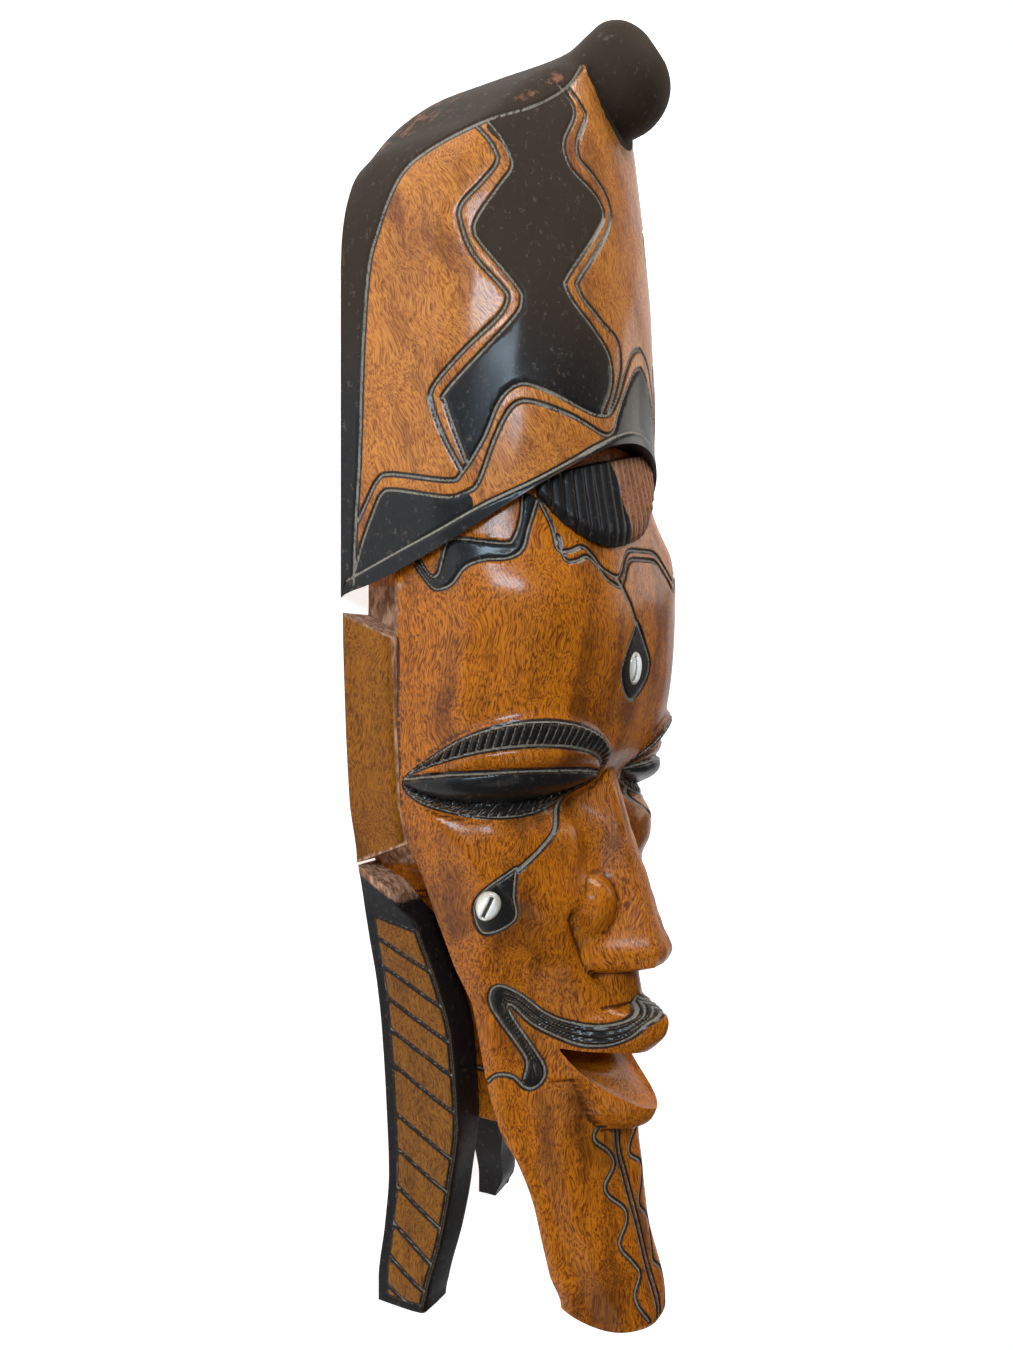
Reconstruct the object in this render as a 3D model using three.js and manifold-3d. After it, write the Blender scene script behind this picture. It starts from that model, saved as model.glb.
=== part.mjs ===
// A tall carved mask, 594 mm long, cut from one half log and set with three cowrie shells.
// It lies on its hollowed back: +Z is the way the face looks, +Y runs up to the top of the hat,
// +X is the viewer's right. Millimetres, with the origin under the middle of the mask.
import * as THREE from 'three';
import { mergeVertices } from 'three/addons/utils/BufferGeometryUtils.js';
import Module from 'manifold-3d';

const wasm = await Module();
wasm.setup();

// Driving sizes. Heights are measured up the mask from just under the end of the beard.
const FOOT = 3;
const MIDDLE = 301.3;
const HAT = {
  halfWidth: 86,
  depth: 107,
  squareness: 2.4,
  leanFrom: 425,
  leanSpan: 115,
  leanBy: 9.5,
  brimRear: 330,
  brimRise: 69,
  brimPower: 0.62,
  crownRise: 6,
  edge: 15,
  rearRound: 14,
  rearDrop: 5,
};
const KNOB = { height: 570.5, depth: 92.5, radius: 25.5, halfWidth: 25, reach: 24.5, root: 12, tilt: 31 };
const FORELOCK = {
  nearTurn: -43,
  farTurn: 24,
  top: 399,
  drop: 33,
  proud: 4,
  ribs: 17,
  ribDepth: 1.6,
  root: 6,
  nearDrop: 24,
};
// The far side of the face stands a little fuller than the near side.
const FACE_TURN = 0.1;
const EAR_BLOCK = { topSlope: 11, bottomSlope: 10, depth: 25, thickness: 24 };
const LOCK = { thickness: 18, shorterBy: 8, topFrom: 186, topRise: 2, topSlope: 0.6 };
const MOUTH = { height: 119, halfWidth: 32, corner: 131, gape: 6.5, scoopDrop: 13, scoopReach: 21 };
const LIP = { half: 33, back: 77, front: 113, step: 14 };
const COWRIE = { length: 15, width: 10.5, height: 5.4, sink: 0.3, gap: 0.3 };
const SLIT = { length: 11.5, width: 1.3, depth: 1.6 };
// Each shell: how far round the face it sits, its height, and how far it leans.
const COWRIES = {
  forehead_cowrie: { turn: -6.6, height: 300, lean: 4 },
  right_cheek_cowrie: { turn: -65, height: 198.5, lean: -30 },
  left_cheek_cowrie: { turn: 65, height: 198.5, lean: 30 },
};

// Stations up the mask, each with its height first.
// Face: half-width, depth of the front, depth of the rear edge, squareness of the section,
// then how far in and how deep the wood lies behind the rear edge.
const FACE_STATIONS = [
  [2, 31, 114, 80, 1.9, 26, 80],
  [25, 33, 108.5, 76.5, 1.9, 28, 76.5],
  [44, 35, 103.5, 73, 1.8, 29, 73],
  [62, 37, 99, 69, 1.7, 30, 69],
  [80, 40, 95, 63, 1.7, 32, 63],
  [92, 42, 95, 56, 1.7, 33, 56],
  [102, 43, 97, 53, 1.6, 31, 0],
  [119, 45, 101, 49, 1.6, 32, 0],
  [149, 50, 105, 46, 1.6, 37, 0],
  [168, 57, 101, 41, 1.8, 44, 0],
  [186, 62, 98.5, 36, 2.4, 50, 0],
  [208, 69, 97, 32, 3, 58, 0],
  [227, 74, 94, 27, 3.1, 68, 0],
  [241, 77, 86, 25, 2.8, 71, 0],
  [252, 78, 91, 24, 2.8, 72, 0],
  [264, 79, 101, 24, 2.9, 73, 0],
  [280, 80, 104.5, 24, 2.9, 73, 0],
  [300, 80, 108, 24, 2.8, 70, 0],
  [328, 80, 109.5, 24, 2.8, 66, 0],
  [352, 78.5, 106.5, 24, 2.5, 66, 0],
  [380, 77, 101, 24, 2.35, 66, 0],
  [420, 74, 95, 24, 2.2, 66, 0],
];
const NOSE_STATIONS = [
  [162, 98, 7],
  [163.5, 110, 9],
  [166, 117, 10],
  [171, 119, 10],
  [180, 115.6, 9],
  [205, 107.5, 7],
  [225, 101, 5.5],
  [240, 96.5, 5],
  [252, 93, 5],
  [262, 92, 5],
];
// Lips: height, then the depth of their front.
const LIP_STATIONS = [
  [87, 92],
  [89.5, 103],
  [92, 109],
  [97, 112.5],
  [103, 114],
  [112, 111.5],
  [123, 108.5],
  [128, 113.5],
  [134, 118.4],
  [139, 119.4],
  [143, 117.5],
  [146.5, 110],
  [149, 101],
];
// The lower edge of the lower lip: distance from the middle line, and height.
const LIP_EDGE = [
  [0, 89.5],
  [6, 90],
  [12.5, 92],
  [20, 101],
  [26, 115.5],
  [32, 131],
  [40, 131],
];
const HOLLOW_STATIONS = [
  [-4, 25, 77],
  [52, 26, 68],
  [84, 23, 55],
  [115, 22, 50],
  [165, 30, 54],
  [210, 46, 58],
  [255, 57, 64],
  [300, 58, 80],
  [400, 62, 80],
  [480, 64, 82],
  [530, 40, 76],
  [560, 14, 62],
];
// How much more the far side swells beside the middle of the beard, the eye and the brow.
const SWELL = [
  [2, 0.42],
  [16, 0.48],
  [35, 0.38],
  [53, 0.65],
  [71, 0.88],
  [89, 0.95],
  [96, 0.5],
  [104, 0],
  [205, 0],
  [217, 0.2],
  [235, 0.27],
  [244, 0.28],
  [252, 0.22],
  [262, 0.05],
  [268, 0.02],
  [330, 0.04],
  [344, 0.14],
  [356, 0.17],
  [364, 0.1],
  [372, 0.04],
  [380, 0],
];
const SWELL_FROM = 12;
// Half the width of the mask at its back rim, over the gable of the hat.
const GABLE = [
  [0, 586],
  [16, 577],
  [44, 555.5],
  [64, 533.5],
  [75, 521],
  [82, 505.5],
  [85.5, 488],
  [86, 478],
];
// Locks: height, outer face, depth of the near lock, depth of the far one.
const LOCK_STATIONS = [
  [12, 57, 24, 9],
  [22, 57, 26, 13],
  [43, 52, 30, 15],
  [66, 48.5, 33, 20],
  [98, 50.5, 38, 28],
  [136, 54.5, 37, 33],
  [158, 58.5, 33, 31],
  [178, 64, 28.5, 28.5],
  [193, 68, 25, 25],
  [204, 71, 20, 20],
  [211, 73, 15, 15],
];
const EAR_STATIONS = [
  [214, 74],
  [242, 79.5],
  [286, 83],
  [324, 84.5],
];

const degrees = THREE.MathUtils.degToRad;
const { clamp, lerp, smoothstep } = THREE.MathUtils;

// A smooth value between stations, with no overshoot at a turning point.
function at(stations, height, column) {
  const last = stations.length - 1;
  const h = clamp(height, stations[0][0], stations[last][0]);
  let i = 0;
  while (i < last - 1 && h > stations[i + 1][0]) i += 1;
  const slope = (k) => {
    if (k <= 0 || k >= last) return 0;
    const before = (stations[k][column] - stations[k - 1][column]) / (stations[k][0] - stations[k - 1][0]);
    const after = (stations[k + 1][column] - stations[k][column]) / (stations[k + 1][0] - stations[k][0]);
    return before * after <= 0 ? 0 : (2 * before * after) / (before + after);
  };
  const span = stations[i + 1][0] - stations[i][0];
  const u = (h - stations[i][0]) / span;
  const start = stations[i][column];
  const end = stations[i + 1][column];
  const blend = u * u * (3 - 2 * u);
  return (
    lerp(start, end, blend) +
    span * (u * (1 - u) * (1 - u) * slope(i) - u * u * (1 - u) * slope(i + 1))
  );
}

// A closed solid through rings of points, each ring listed the same way round.
function loft(rings) {
  const count = rings[0].length;
  const points = rings.flat();
  const faces = [];
  for (let row = 0; row + 1 < rings.length; row += 1) {
    for (let k = 0; k < count; k += 1) {
      const next = (k + 1) % count;
      const a = row * count + k;
      const b = row * count + next;
      const c = a + count;
      const d = b + count;
      faces.push(a, b, d, a, d, c);
    }
  }
  const cap = (row, flip) => {
    const ring = rings[row];
    const middle = ring.reduce((sum, p) => sum.add(p), new THREE.Vector3()).divideScalar(count);
    points.push(middle);
    const hub = points.length - 1;
    for (let k = 0; k < count; k += 1) {
      const a = row * count + k;
      const b = row * count + ((k + 1) % count);
      if (flip) faces.push(hub, b, a);
      else faces.push(hub, a, b);
    }
  };
  cap(0, true);
  cap(rings.length - 1, false);
  const geometry = new THREE.BufferGeometry();
  geometry.setAttribute('position', new THREE.Float32BufferAttribute(points.flatMap((p) => p.toArray()), 3));
  geometry.setIndex(faces);
  return geometry;
}

// The signed volume says whether a closed mesh has its faces pointing out.
function volume(geometry) {
  const p = geometry.getAttribute('position');
  const index = geometry.getIndex();
  const [a, b, c] = [new THREE.Vector3(), new THREE.Vector3(), new THREE.Vector3()];
  let sum = 0;
  for (let i = 0; i < index.count; i += 3) {
    a.fromBufferAttribute(p, index.getX(i));
    b.fromBufferAttribute(p, index.getX(i + 1));
    c.fromBufferAttribute(p, index.getX(i + 2));
    sum += a.dot(b.cross(c)) / 6;
  }
  return sum;
}

function solid(geometry) {
  const bare = geometry.clone();
  bare.deleteAttribute('normal');
  bare.deleteAttribute('uv');
  const merged = mergeVertices(bare, 1e-4);
  const triangles = Uint32Array.from(merged.getIndex().array);
  if (volume(merged) < 0) {
    for (let i = 0; i < triangles.length; i += 3) {
      [triangles[i + 1], triangles[i + 2]] = [triangles[i + 2], triangles[i + 1]];
    }
  }
  const vertices = Float32Array.from(merged.getAttribute('position').array);
  return new wasm.Manifold(new wasm.Mesh({ numProp: 3, vertProperties: vertices, triVerts: triangles }));
}

function geometryOf(body) {
  const mesh = body.getMesh();
  const geometry = new THREE.BufferGeometry();
  geometry.setAttribute('position', new THREE.Float32BufferAttribute(mesh.vertProperties, 3));
  geometry.setIndex(Array.from(mesh.triVerts));
  return geometry;
}

// Angles of the lines that run up the face, closer together over the nose and mouth.
const FACE_ANGLES = [0, 2.5, 5, 7.5, 10.5, 14, 18, 23, 28, 34, 41, 48, 55, 62, 69, 76, 83, 90];
const bothSides = (angles) => [...angles.slice(1).reverse().map((v) => -v), ...angles];

// A point of a superelliptic section, with its outward direction.
function sectionPoint(angle, halfWidth, reach, power) {
  const s = Math.sin(angle);
  const c = Math.cos(angle);
  const radius = ((Math.abs(s) / halfWidth) ** power + (Math.abs(c) / reach) ** power) ** (-1 / power);
  const x = radius * s;
  const z = radius * Math.max(c, 0);
  const nx = (Math.sign(x) * Math.abs(x) ** (power - 1)) / halfWidth ** power;
  const nz = z ** (power - 1) / reach ** power;
  const length = Math.hypot(nx, nz) || 1;
  return { x, z, nx: nx / length, nz: nz / length };
}

// Eye and brow: one long almond that wraps round the side of the face. The far brow stands out more.
const EYE = {
  middle: 64.5,
  half: 54,
  height: 252,
  brow: 25,
  brim: 16,
  lens: 4.5,
  low: -9.5,
  lid: -15.5,
  browProud: 2.4,
  farBrowProud: 3.7,
  lidDeep: 1.2,
  lensProud: 3.2,
};
function eyeRelief(side, height) {
  const q = (Math.abs(side) - EYE.middle) / EYE.half;
  if (Math.abs(q) >= 1) return 0;
  const arch = (1 - q * q) ** 0.7;
  const v = (height - EYE.height) / arch;
  if (v > EYE.brow + 5 || v < EYE.lid - 2) return 0;
  const grow = Math.min(1, arch * 1.6);
  const brow = side > 0 ? EYE.farBrowProud : EYE.browProud;
  if (v > EYE.brim) return brow * grow * smoothstep(EYE.brow + 5 - v, 0, 5);
  if (v > EYE.lens) return -0.5 * grow;
  if (v > EYE.low) {
    const u = (v - EYE.low) / (EYE.lens - EYE.low);
    return grow * (1 + EYE.lensProud * Math.sin(Math.PI * u));
  }
  return EYE.lidDeep * grow * smoothstep(v - EYE.lid + 2, 0, 3);
}

// The cheek falls in under the eye, behind a crease that runs down to the cheek shell.
const CREASE = { side: 74, height: 207, inward: [-0.747, 0.664], depth: 6.5, ease: 9 };
function cheekRelief(side, height) {
  const out = Math.abs(side);
  const past = CREASE.inward[0] * (out - CREASE.side) + CREASE.inward[1] * (height - CREASE.height);
  if (past <= 0) return 0;
  const fade = smoothstep(height, 188, 214) * smoothstep(out, 10, 24) * (1 - smoothstep(height, 236, 250));
  return ((-CREASE.depth * past) / (past + CREASE.ease)) * fade;
}

// A valley beside the bridge of the nose, and a deeper one round the wing and down to the lip.
const BRIDGE_VALLEY = { side: 16, halfWidth: 5.5, depth: 5.5, middle: 226, reach: 24 };
const NOSTRIL_VALLEY = { path: [[33, 190], [29, 181], [21, 167], [12, 151]], halfWidth: 4.2, depth: 5.5 };
function distanceTo(path, x, y) {
  let nearest = Infinity;
  for (let i = 0; i + 1 < path.length; i += 1) {
    const [[x0, y0], [x1, y1]] = [path[i], path[i + 1]];
    const length = (x1 - x0) ** 2 + (y1 - y0) ** 2;
    const t = clamp(((x - x0) * (x1 - x0) + (y - y0) * (y1 - y0)) / length, 0, 1);
    nearest = Math.min(nearest, Math.hypot(x - lerp(x0, x1, t), y - lerp(y0, y1, t)));
  }
  return nearest;
}
function noseValley(x, height) {
  const { side, halfWidth, depth, middle, reach } = BRIDGE_VALLEY;
  const v = Math.min(1, Math.abs(height - middle) / reach);
  const bridge = depth * Math.exp(-(((Math.abs(x) - side) / halfWidth) ** 2)) * (1 - v * v);
  const away = distanceTo(NOSTRIL_VALLEY.path, Math.abs(x), height) / NOSTRIL_VALLEY.halfWidth;
  return -bridge - NOSTRIL_VALLEY.depth * Math.exp(-away * away) * smoothstep(height, 148, 165);
}

const WING = { side: 17, height: 194, halfWidth: 12.5, halfHeight: 14, root: 89, proud: 11 };
function noseDepth(x, height) {
  const ridge = at(NOSE_STATIONS, height, 1);
  const flat = at(NOSE_STATIONS, height, 2);
  if (height > 262 || height < 161) return 0;
  const side = Math.max(0, Math.abs(x) - flat);
  const wedge = ridge - 1.8 * side - Math.abs(x) * 0.08;
  const dome =
    1 - ((Math.abs(x) - WING.side) / WING.halfWidth) ** 2 - ((height - WING.height) / WING.halfHeight) ** 2;
  return Math.max(wedge, dome > 0 ? WING.root + WING.proud * Math.sqrt(dome) : 0);
}

function lipDepth(x, height) {
  const out = Math.abs(x);
  if (height < 85 || height > 150 || out > LIP.half * 1.15) return 0;
  const tip = at(LIP_STATIONS, height, 1);
  const below = height < 118 ? smoothstep(at(LIP_EDGE, out, 1) - height, -0.8, 2.4) : 0;
  return tip - (tip - LIP.back) * (out / LIP.half) ** 1.6 - LIP.step * below;
}

function swell(x, height) {
  const far = Math.max(x, 0);
  return (at(SWELL, height, 1) * far ** 2) / (far + SWELL_FROM);
}

function facePoint(angle, height, sideOf) {
  const halfWidth = at(FACE_STATIONS, height, 1);
  const rear = at(FACE_STATIONS, height, 3);
  const reach = at(FACE_STATIONS, height, 2) - rear;
  const base = sectionPoint(angle, halfWidth, reach, at(FACE_STATIONS, height, 4));
  const side = sideOf(angle);
  const lift = eyeRelief(side, height) + cheekRelief(side, height);
  const x = base.x + base.nx * lift;
  const out = base.z / reach;
  let z = rear + base.z + base.nz * lift + (FACE_TURN * base.x + swell(base.x, height) * out) * out;
  z += noseValley(x, height);
  z = Math.max(z, noseDepth(x, height), lipDepth(x, height));
  return new THREE.Vector3(x, height, z);
}

// Distance along the section from the middle of the face, with the sign of the side.
function sideMeasure(height) {
  const halfWidth = at(FACE_STATIONS, height, 1);
  const reach = at(FACE_STATIONS, height, 2) - at(FACE_STATIONS, height, 3);
  const power = at(FACE_STATIONS, height, 4);
  const steps = 45;
  const sums = [0];
  let before = sectionPoint(0, halfWidth, reach, power);
  for (let i = 1; i <= steps; i += 1) {
    const here = sectionPoint((i / steps) * (Math.PI / 2), halfWidth, reach, power);
    sums.push(sums[i - 1] + Math.hypot(here.x - before.x, here.z - before.z));
    before = here;
  }
  return (angle) => {
    const u = (Math.abs(angle) / (Math.PI / 2)) * steps;
    const i = Math.min(steps - 1, Math.floor(u));
    return Math.sign(angle) * lerp(sums[i], sums[i + 1], u - i);
  };
}

// The end of the beard is cut to a shallow curve, higher towards its back corners.
const BEARD_END = { corner: 16, fade: 30 };
// Above this height the wood behind the jaw reaches down to the back of the mask.
const JAW_TOP = 94;
const REAR_STEP = 5;
function faceRing(height) {
  const sideOf = sideMeasure(height);
  const arc = bothSides(FACE_ANGLES).map((angle) => {
    const point = facePoint(degrees(angle), height, sideOf);
    const lift = lerp(FOOT, BEARD_END.corner, (angle / 90) ** 2);
    point.y += lift * Math.max(0, 1 - height / BEARD_END.fade);
    return point;
  });
  const rear = at(FACE_STATIONS, height, 3);
  const inner = at(FACE_STATIONS, height, 5);
  const back = height < JAW_TOP ? rear : 0;
  return [
    ...arc,
    new THREE.Vector3(inner, arc[0].y, Math.max(back, rear - REAR_STEP)),
    new THREE.Vector3(inner - 1, arc[0].y, back),
    new THREE.Vector3(1 - inner, arc[0].y, back),
    new THREE.Vector3(-inner, arc[0].y, Math.max(back, rear - REAR_STEP)),
  ];
}

const FACE_ROWS = [
  0, 14, 28, 42, 56, 68, 78, 85, 87, 89.5, 92, 94, 97, 101, 106, 111, 116, 120, 124, 128, 132, 136, 140, 144,
  147, 150, 156, 161, 163.5, 166, 170, 175, 180, 184, 188, 192, 197, 202, 207, 212, 218, 224, 230, 236.5, 239,
  243, 247, 252, 256.5, 260, 264, 268, 272, 276, 279, 285, 293, 303, 318, 335, 352, 372, 395, 420,
];
const face = solid(loft(FACE_ROWS.map(faceRing)));

// Hat: an elliptic wall between the arch of the brim and the gable of the crown, both cut
// through from the front. Each ring is one slice along the mask.
const HAT_ANGLES = [1.5, 8, 16, 25, 34, 43, 52, 61, 70, 78, 84, 88.5];
function hatRing(degree) {
  const angle = degrees(degree);
  const { x, z: depth } = sectionPoint(angle, HAT.halfWidth, HAT.depth, HAT.squareness);
  const brim = HAT.brimRear + HAT.brimRise * (1 - (x / HAT.halfWidth) ** 2) ** HAT.brimPower;
  const crown = at(GABLE, Math.abs(x), 1);
  const edge = Math.min(HAT.edge, depth * 0.5);
  const bend = (height) => Math.max(0, (height - HAT.leanFrom) / HAT.leanSpan) ** 1.6;
  const lean = (height) => 1 - (HAT.leanBy / HAT.depth) * bend(height);
  const rise = (z) => (HAT.crownRise * z) / HAT.depth;
  const wall = [0, 0.2, 0.4, 0.6, 0.8].map((u) => {
    const height = lerp(brim, crown - edge, u);
    return new THREE.Vector3(x, height, depth * lean(height));
  });
  const top = depth * lean(crown);
  const round = [0, 30, 60, 90].map((turn) => {
    const z = top - edge * (1 - Math.cos(degrees(turn)));
    return new THREE.Vector3(x, crown - edge * (1 - Math.sin(degrees(turn))) + rise(z), z);
  });
  const rear = [1, 0.5, 0].map((u) => {
    const z = Math.min(HAT.rearRound, depth * 0.4) * u;
    return new THREE.Vector3(x, crown + rise(z) - HAT.rearDrop * (1 - u) ** 2, z);
  });
  return [...wall, ...round, ...rear, new THREE.Vector3(x, brim, 0)];
}
const hat = solid(loft([...HAT_ANGLES.map((v) => -v).reverse(), ...HAT_ANGLES].map(hatRing)));

// Knob: a bun that leans forward from the front of the crown.
function knobGeometry() {
  const profile = [new THREE.Vector2(0, -KNOB.root), new THREE.Vector2(KNOB.radius * 0.85, -KNOB.root)];
  for (const degree of [0, 15, 30, 45, 60, 75]) {
    const angle = degrees(degree);
    const round = Math.cos(angle) ** 0.8;
    const up = Math.sin(angle) ** 0.85;
    profile.push(new THREE.Vector2(KNOB.radius * round, KNOB.reach * up));
  }
  profile.push(new THREE.Vector2(0, KNOB.reach));
  const geometry = new THREE.LatheGeometry(profile, 24);
  geometry.scale(KNOB.halfWidth / KNOB.radius, 1, 1);
  geometry.rotateX(degrees(90 - KNOB.tilt));
  geometry.translate(0, KNOB.height, KNOB.depth);
  return geometry;
}

// Forelock: a fringe of ribs under the brim, laid on the forehead.
function forelockGeometry() {
  const rings = [];
  const columns = FORELOCK.ribs * 2;
  const rows = 6;
  for (let k = 0; k <= columns; k += 1) {
    const u = k / columns;
    const turn = degrees(lerp(FORELOCK.nearTurn, FORELOCK.farTurn, u));
    const fall = FORELOCK.drop * (1 - Math.abs(2 * u - 1) ** 2.4);
    const start = FORELOCK.top - FORELOCK.nearDrop * (1 - u) ** 1.5;
    const rib = k % 2 ? FORELOCK.ribDepth : 0;
    const outer = [];
    const inner = [];
    for (let j = 0; j <= rows; j += 1) {
      const height = start + FORELOCK.root - ((fall + FORELOCK.root + 2) * j) / rows;
      const point = facePoint(turn, height, () => 0);
      const proud = (FORELOCK.proud + rib) * Math.min(1, 0.3 + 3 * (1 - j / rows));
      const out = new THREE.Vector3(Math.sin(turn), 0, Math.cos(turn));
      outer.push(point.clone().addScaledVector(out, proud));
      inner.push(point.clone().addScaledVector(out, -FORELOCK.root));
    }
    rings.push([...outer, ...inner.reverse()]);
  }
  return loft(rings);
}

// Side pieces are lofted on the viewer's left (-X), and mirrored for the right.
const leftPiece = (stations, ringAt) => solid(loft(stations.map(ringAt)));

const earBlock = leftPiece(EAR_STATIONS, ([height, outer], i) => {
  const end = i === 0 ? EAR_BLOCK.bottomSlope : i === EAR_STATIONS.length - 1 ? -EAR_BLOCK.topSlope : 0;
  const corner = (x, depth) => new THREE.Vector3(-x, height + (end * depth) / EAR_BLOCK.depth, depth);
  return [
    corner(outer, 0),
    corner(outer, EAR_BLOCK.depth * 0.55),
    corner(outer - 1.2, EAR_BLOCK.depth * 0.85),
    corner(outer - 3, EAR_BLOCK.depth),
    corner(outer - EAR_BLOCK.thickness, EAR_BLOCK.depth),
    corner(outer - EAR_BLOCK.thickness, 0),
  ];
});

function lockRing(height, outer, width) {
  const cut = smoothstep(height, LOCK.topFrom, 211);
  const corner = (inward, depth) =>
    new THREE.Vector3(inward - outer, height + cut * (LOCK.topRise - LOCK.topSlope * depth), depth);
  return [
    corner(0, 0),
    corner(-0.6, width * 0.4),
    corner(0.2, width * 0.8),
    corner(1.5, width),
    corner(LOCK.thickness, width + 1),
    corner(LOCK.thickness, 0),
  ];
}
const nearLock = leftPiece(LOCK_STATIONS, ([height, outer, width]) => lockRing(height, outer, width));
const farLock = leftPiece(LOCK_STATIONS, ([height, outer, , width]) =>
  lockRing(Math.max(height, lerp(LOCK.shorterBy, 0, height / 72) + height), outer, width),
);

// The hollow behind, open at the back and between the locks.
function hollowRing([height, halfWidth, depth]) {
  const arc = [-90, -70, -48, -24, 0, 24, 48, 70, 90].map((degree) => {
    const point = sectionPoint(degrees(degree), halfWidth, depth, 2.4);
    return new THREE.Vector3(point.x, height, point.z);
  });
  return [...arc, new THREE.Vector3(halfWidth, height, -5), new THREE.Vector3(-halfWidth, height, -5)];
}
const hollow = solid(loft(HOLLOW_STATIONS.map(hollowRing)));

// The parted lips, cut through to the hollow.
function mouthGeometry() {
  const rings = [];
  for (let i = 0; i <= 14; i += 1) {
    const x = lerp(-MOUTH.halfWidth, MOUTH.halfWidth, i / 14);
    const u = Math.abs(x) / MOUTH.halfWidth;
    const middle = lerp(MOUTH.height, MOUTH.corner, u ** 1.6);
    const half = 0.4 + MOUTH.gape * (1 - u ** 2);
    const front = LIP.front - (LIP.front - LIP.back) * (Math.abs(x) / LIP.half) ** 1.6;
    const drop = MOUTH.scoopDrop * (1 - 0.7 * u ** 2) * (1 - u ** 10);
    const scoop = [0, 0.35, 0.65, 1].map((t) => {
      const depth = front - MOUTH.scoopReach * (1 - t);
      return new THREE.Vector3(x, middle - half * 0.9 - drop * smoothstep(t, 0, 1), depth);
    });
    rings.push([
      new THREE.Vector3(x, middle - half * 0.6, 30),
      ...scoop,
      new THREE.Vector3(x, middle - half * 0.9 - drop, 140),
      new THREE.Vector3(x, middle + half, 140),
      new THREE.Vector3(x, middle + half * 0.6, 30),
    ]);
  }
  return loft(rings);
}

// Where a shell sits: its own Z stands out of the face and its own Y runs along the shell.
function seat({ turn, height, lean }) {
  const onFace = (t, h) => facePoint(degrees(t), h, sideMeasure(h));
  const across = onFace(turn + 3, height).sub(onFace(turn - 3, height));
  const up = onFace(turn, height + 3).sub(onFace(turn, height - 3));
  const out = new THREE.Vector3().crossVectors(across, up).normalize();
  up.addScaledVector(out, -up.dot(out)).normalize().applyAxisAngle(out, degrees(lean));
  const place = new THREE.Matrix4().makeBasis(new THREE.Vector3().crossVectors(up, out), up, out);
  return place.setPosition(onFace(turn, height).addScaledVector(out, -COWRIE.sink));
}

function oval(grow) {
  const geometry = new THREE.SphereGeometry(1, 16, 10);
  return geometry.scale(COWRIE.width / 2 + grow, COWRIE.length / 2 + grow, COWRIE.height / 2 + grow);
}

// A shell is an oval dome with the long slit of its mouth along the top.
function cowrie() {
  const slit = new THREE.BoxGeometry(SLIT.width, SLIT.length, SLIT.depth * 2);
  slit.translate(0, 0, COWRIE.height / 2);
  return geometryOf(solid(oval(0)).subtract(solid(slit)));
}

let carving = face
  .add(hat)
  .add(solid(knobGeometry()))
  .add(solid(forelockGeometry()))
  .add(earBlock)
  .add(earBlock.mirror([1, 0, 0]))
  .add(nearLock)
  .add(farLock.mirror([1, 0, 0]))
  .subtract(hollow)
  .subtract(solid(mouthGeometry()));
for (const place of Object.values(COWRIES)) {
  carving = carving.subtract(solid(oval(COWRIE.gap).applyMatrix4(seat(place))));
}

const group = new THREE.Group();
function addPiece(name, geometry, colour, roughness) {
  const mesh = new THREE.Mesh(
    geometry,
    new THREE.MeshStandardMaterial({ color: colour, roughness, metalness: 0 }),
  );
  mesh.name = name;
  group.add(mesh);
}
addPiece('mask_body', geometryOf(carving), 0xb0672c, 0.4);
for (const [name, place] of Object.entries(COWRIES)) {
  addPiece(name, cowrie().applyMatrix4(seat(place)), 0xebe1cd, 0.35);
}
// The middle of the mask's length comes to within two millimetres of the origin.
for (const mesh of group.children) mesh.position.y = -MIDDLE;

export default group;
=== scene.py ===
from math import radians

import bmesh
import bpy
import numpy as np
from mathutils import Matrix, Quaternion, Vector


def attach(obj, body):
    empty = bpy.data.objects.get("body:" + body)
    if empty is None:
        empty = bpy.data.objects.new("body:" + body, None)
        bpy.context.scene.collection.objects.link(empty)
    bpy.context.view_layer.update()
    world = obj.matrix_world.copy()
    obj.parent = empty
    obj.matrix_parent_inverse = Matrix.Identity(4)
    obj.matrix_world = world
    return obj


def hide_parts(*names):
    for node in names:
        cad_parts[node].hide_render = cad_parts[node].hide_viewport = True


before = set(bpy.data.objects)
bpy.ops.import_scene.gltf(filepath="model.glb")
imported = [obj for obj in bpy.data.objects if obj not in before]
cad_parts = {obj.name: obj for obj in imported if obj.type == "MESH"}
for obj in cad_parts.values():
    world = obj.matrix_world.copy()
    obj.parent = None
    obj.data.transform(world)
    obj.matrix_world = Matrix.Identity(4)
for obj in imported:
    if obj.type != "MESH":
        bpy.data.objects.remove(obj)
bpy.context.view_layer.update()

# Studio: the mask lies on its hollowed back on a pale sweep of paper, under soft lights.
# The camera looks down on it from beside its right cheek, with the hat at the top of the frame.
scene = bpy.context.scene
scene.view_settings.view_transform = "Standard"

VIEW_DOWN = radians(27)
VIEW_FROM = Vector((-0.4535, -0.0043, 0.2676))
LENS = 27.73
look = Vector((np.cos(VIEW_DOWN), 0, -np.sin(VIEW_DOWN)))
across = Vector((np.sin(VIEW_DOWN), 0, np.cos(VIEW_DOWN)))
camera_data = bpy.data.cameras.new("camera")
camera_data.lens = LENS
camera_data.clip_start = 0.02
camera = bpy.data.objects.new("camera", camera_data)
scene.collection.objects.link(camera)
camera.matrix_world = Matrix((across, (0, 1, 0), -look)).transposed().to_4x4()
camera.location = VIEW_FROM
scene.camera = camera

PAPER_SIZE, PAPER_BEND, PAPER_CURVE, PAPER_BELOW = 3.2, 1.6, 1.2, 0.0004


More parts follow.
